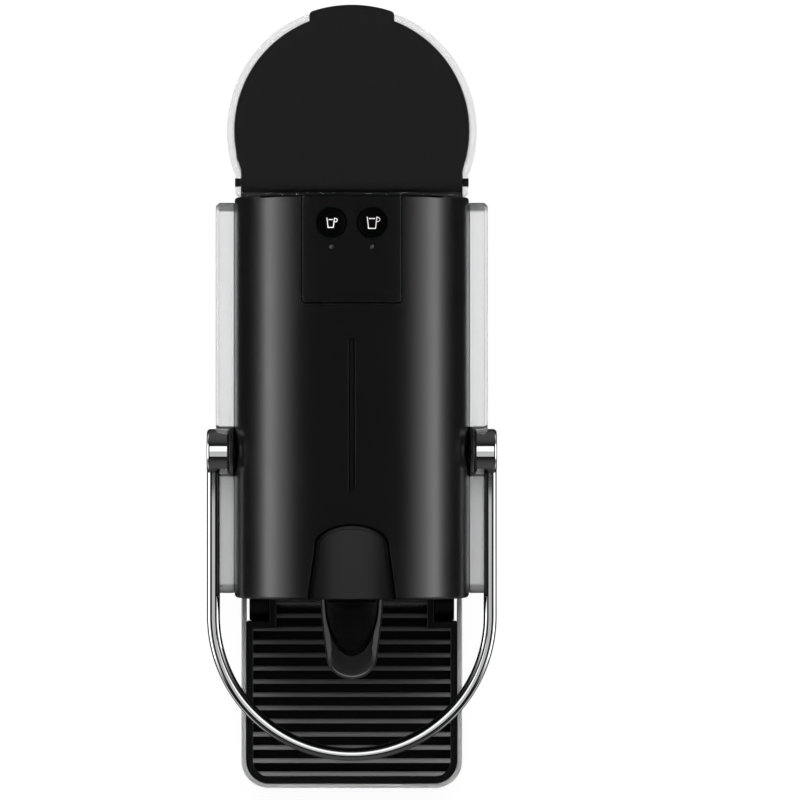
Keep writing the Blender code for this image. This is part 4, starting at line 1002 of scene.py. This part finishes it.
def make_world():
    """A studio that reflections, matt surfaces and the camera each see differently."""
    world = bpy.data.worlds.new("studio")
    bpy.context.scene.world = world
    world.use_nodes = True
    nodes, links = world.node_tree.nodes, world.node_tree.links
    nodes.clear()

    def math_node(operation, first, second=None):
        node = nodes.new("ShaderNodeMath")
        node.operation = operation
        for socket, value in zip(node.inputs, (first, second)):
            if isinstance(value, (int, float)):
                socket.default_value = value
            elif value is not None:
                links.new(value, socket)
        return node.outputs[0]

    def ease(value, low, high, first, second):
        """first below low, second above high, and a smooth change between them."""
        node = nodes.new("ShaderNodeMapRange")
        node.interpolation_type = "SMOOTHSTEP"
        node.inputs["From Min"].default_value, node.inputs["From Max"].default_value = low, high
        node.inputs["To Min"].default_value, node.inputs["To Max"].default_value = first, second
        links.new(value, node.inputs["Value"])
        return node.outputs["Result"]

    def blend(share, first, second):
        """first where share is 0, second where it is 1."""
        return math_node("ADD", math_node("MULTIPLY", math_node("SUBTRACT", 1.0, share), first),
                         math_node("MULTIPLY", share, second))

    where = nodes.new("ShaderNodeTexCoord")
    parts = nodes.new("ShaderNodeSeparateXYZ")
    links.new(where.outputs["Generated"], parts.inputs[0])
    aside = math_node("ABSOLUTE", parts.outputs["X"])
    angle = math_node("ARCTAN2", aside, parts.outputs["Z"])
    ramp = nodes.new("ShaderNodeValToRGB")
    elements = ramp.color_ramp.elements
    while len(elements) < len(STUDIO):
        elements.new(0.5)
    for element, (degrees, level) in zip(elements, STUDIO):
        element.position = degrees / 180.0
        element.color = (*grey(level / STUDIO_TOP), 1.0)
    links.new(math_node("DIVIDE", angle, math.pi), ramp.inputs["Fac"])
    around = math_node("MULTIPLY", ramp.outputs["Color"], STUDIO_TOP)
    endwise = ease(math_node("ABSOLUTE", parts.outputs["Y"]), 0.3, 0.5, 0.0, 1.0)
    ends = ease(math_node("ABSOLUTE", parts.outputs["Y"]), 0.5, 1.0, *STUDIO_ENDS)
    low = math_node("MULTIPLY", ease(aside, 0.4, 0.75, 0.0, 1.0),
                    math_node("MULTIPLY", ease(parts.outputs["Z"], -0.15, -0.03, 1.0, 0.0),
                              ease(parts.outputs["Z"], -0.65, -0.45, 0.0, 1.0)))
    seen = blend(endwise, around, blend(low, ends, STUDIO_LOW))
    fill = ease(aside, 0.5, 1.0, FILL_ABOVE, FILL_SIDE)
    path = nodes.new("ShaderNodeLightPath")
    lit = blend(path.outputs["Is Diffuse Ray"], seen, fill)
    background = nodes.new("ShaderNodeBackground")
    links.new(blend(path.outputs["Is Camera Ray"], lit, BACKDROP), background.inputs["Color"])
    out = nodes.new("ShaderNodeOutputWorld")
    links.new(background.outputs[0], out.inputs["Surface"])


def make_lamp(name, width, depth, power, place, aim):
    """A rectangular soft light that is never seen by the camera; lengths are in metres."""
    data = bpy.data.lights.new(name, "AREA")
    data.shape = "RECTANGLE"
    data.size, data.size_y = width, depth
    data.energy = power
    lamp = bpy.data.objects.new(name, data)
    lamp.location = place
    lamp.rotation_euler = Vector(aim).to_track_quat("-Z", "Y").to_euler()
    lamp.visible_camera = False
    bpy.context.scene.collection.objects.link(lamp)
    return lamp


KEY_HEIGHT = 1.6
KEY_POWER = 24.0
SLAT_LIGHT_POWER = 35.0
FRONT_CARD_POWER = 55.0
DOWN = (0.0, 0.0, -1.0)
CARD_HEIGHT = 1.987
CARD_HALF_WIDTH = 0.88
DIM_CARD_HALF_WIDTH = 2.2
SIDE_CARD_X = 1.5
SIDE_CARD_LENGTH = 1.2
# Each card overhead: where it starts and ends along the machine, and its brightness.
BRIGHT_CARDS = {"white_card": (-0.03, 0.9, 1.63), "grey_card": (-0.887, -0.06, 0.77),
                "gap_card": (-0.06, -0.03, 0.04)}
DIM_CARD = (-1.8, 1.8, 0.105)
# Strips at both sides, by their angles from straight up, that add to the studio's own brightness.
SIDE_STRIPS = ((74.0, 79.0, 0.6), (79.0, 83.0, 1.4), (83.0, 94.0, 2.1))


def make_card(name, half_width, low_y, high_y, brightness, receivers):
    """A glowing card overhead that shows in the reflections of some pieces only."""
    width, depth = 2 * half_width, high_y - low_y
    card = make_lamp(name, width, depth, math.pi * brightness * width * depth,
                     (0.0, (low_y + high_y) / 2, CARD_HEIGHT), DOWN)
    card.light_linking.receiver_collection = receivers
    return card


def make_lights():
    key = make_lamp("key", 0.9, 0.56, KEY_POWER, (0.0, 0.27, KEY_HEIGHT), DOWN)
    slat_light = make_lamp("slat_light", 0.9, 0.65, SLAT_LIGHT_POWER, (0.0, 0.575, KEY_HEIGHT), DOWN)
    for lamp, group in ((key, ALL_BUT_SLATS), (slat_light, SLATS_ONLY)):
        lamp.visible_glossy = False
        lamp.visible_transmission = False
        lamp.light_linking.receiver_collection = group
    for name, card in BRIGHT_CARDS.items():
        make_card(name, CARD_HALF_WIDTH, *card, UNDER_BRIGHT_CARDS)
    make_card("dim_card", DIM_CARD_HALF_WIDTH, *DIM_CARD, UNDER_DIM_CARDS).visible_diffuse = False
    front = make_lamp("front_card", 3.0, 1.1, FRONT_CARD_POWER, (0.0, -1.7, -0.2), (0.0, 1.0, 0.0))
    front.light_linking.receiver_collection = BEHIND_FRONT_CARD
    front.visible_diffuse = False
    for low, high, brightness in SIDE_STRIPS:
        edges = [HEAD_AXIS_Z * MM + SIDE_CARD_X / math.tan(math.radians(angle)) for angle in (high, low)]
        height = edges[1] - edges[0]
        power = math.pi * brightness * height * SIDE_CARD_LENGTH
        for side in (LEFT, RIGHT):
            strip = make_lamp("side_card", SIDE_CARD_LENGTH, height, power,
                              (side * SIDE_CARD_X, 0.0, sum(edges) / 2), (-side, 0.0, 0.0))
            strip.light_linking.receiver_collection = BETWEEN_SIDE_CARDS
            strip.visible_diffuse = False


make_camera()
make_floor()
make_world()
make_lights()
make_shell()
make_door()
make_controls()
make_lever()
for side, place in ((LEFT, "left"), (RIGHT, "right")):
    make_panel(side, place)
    make_bush(side, place)
make_outlet()
make_rim()
make_grid()
make_tank()
make_lid()
make_softened()
dress_nodes()
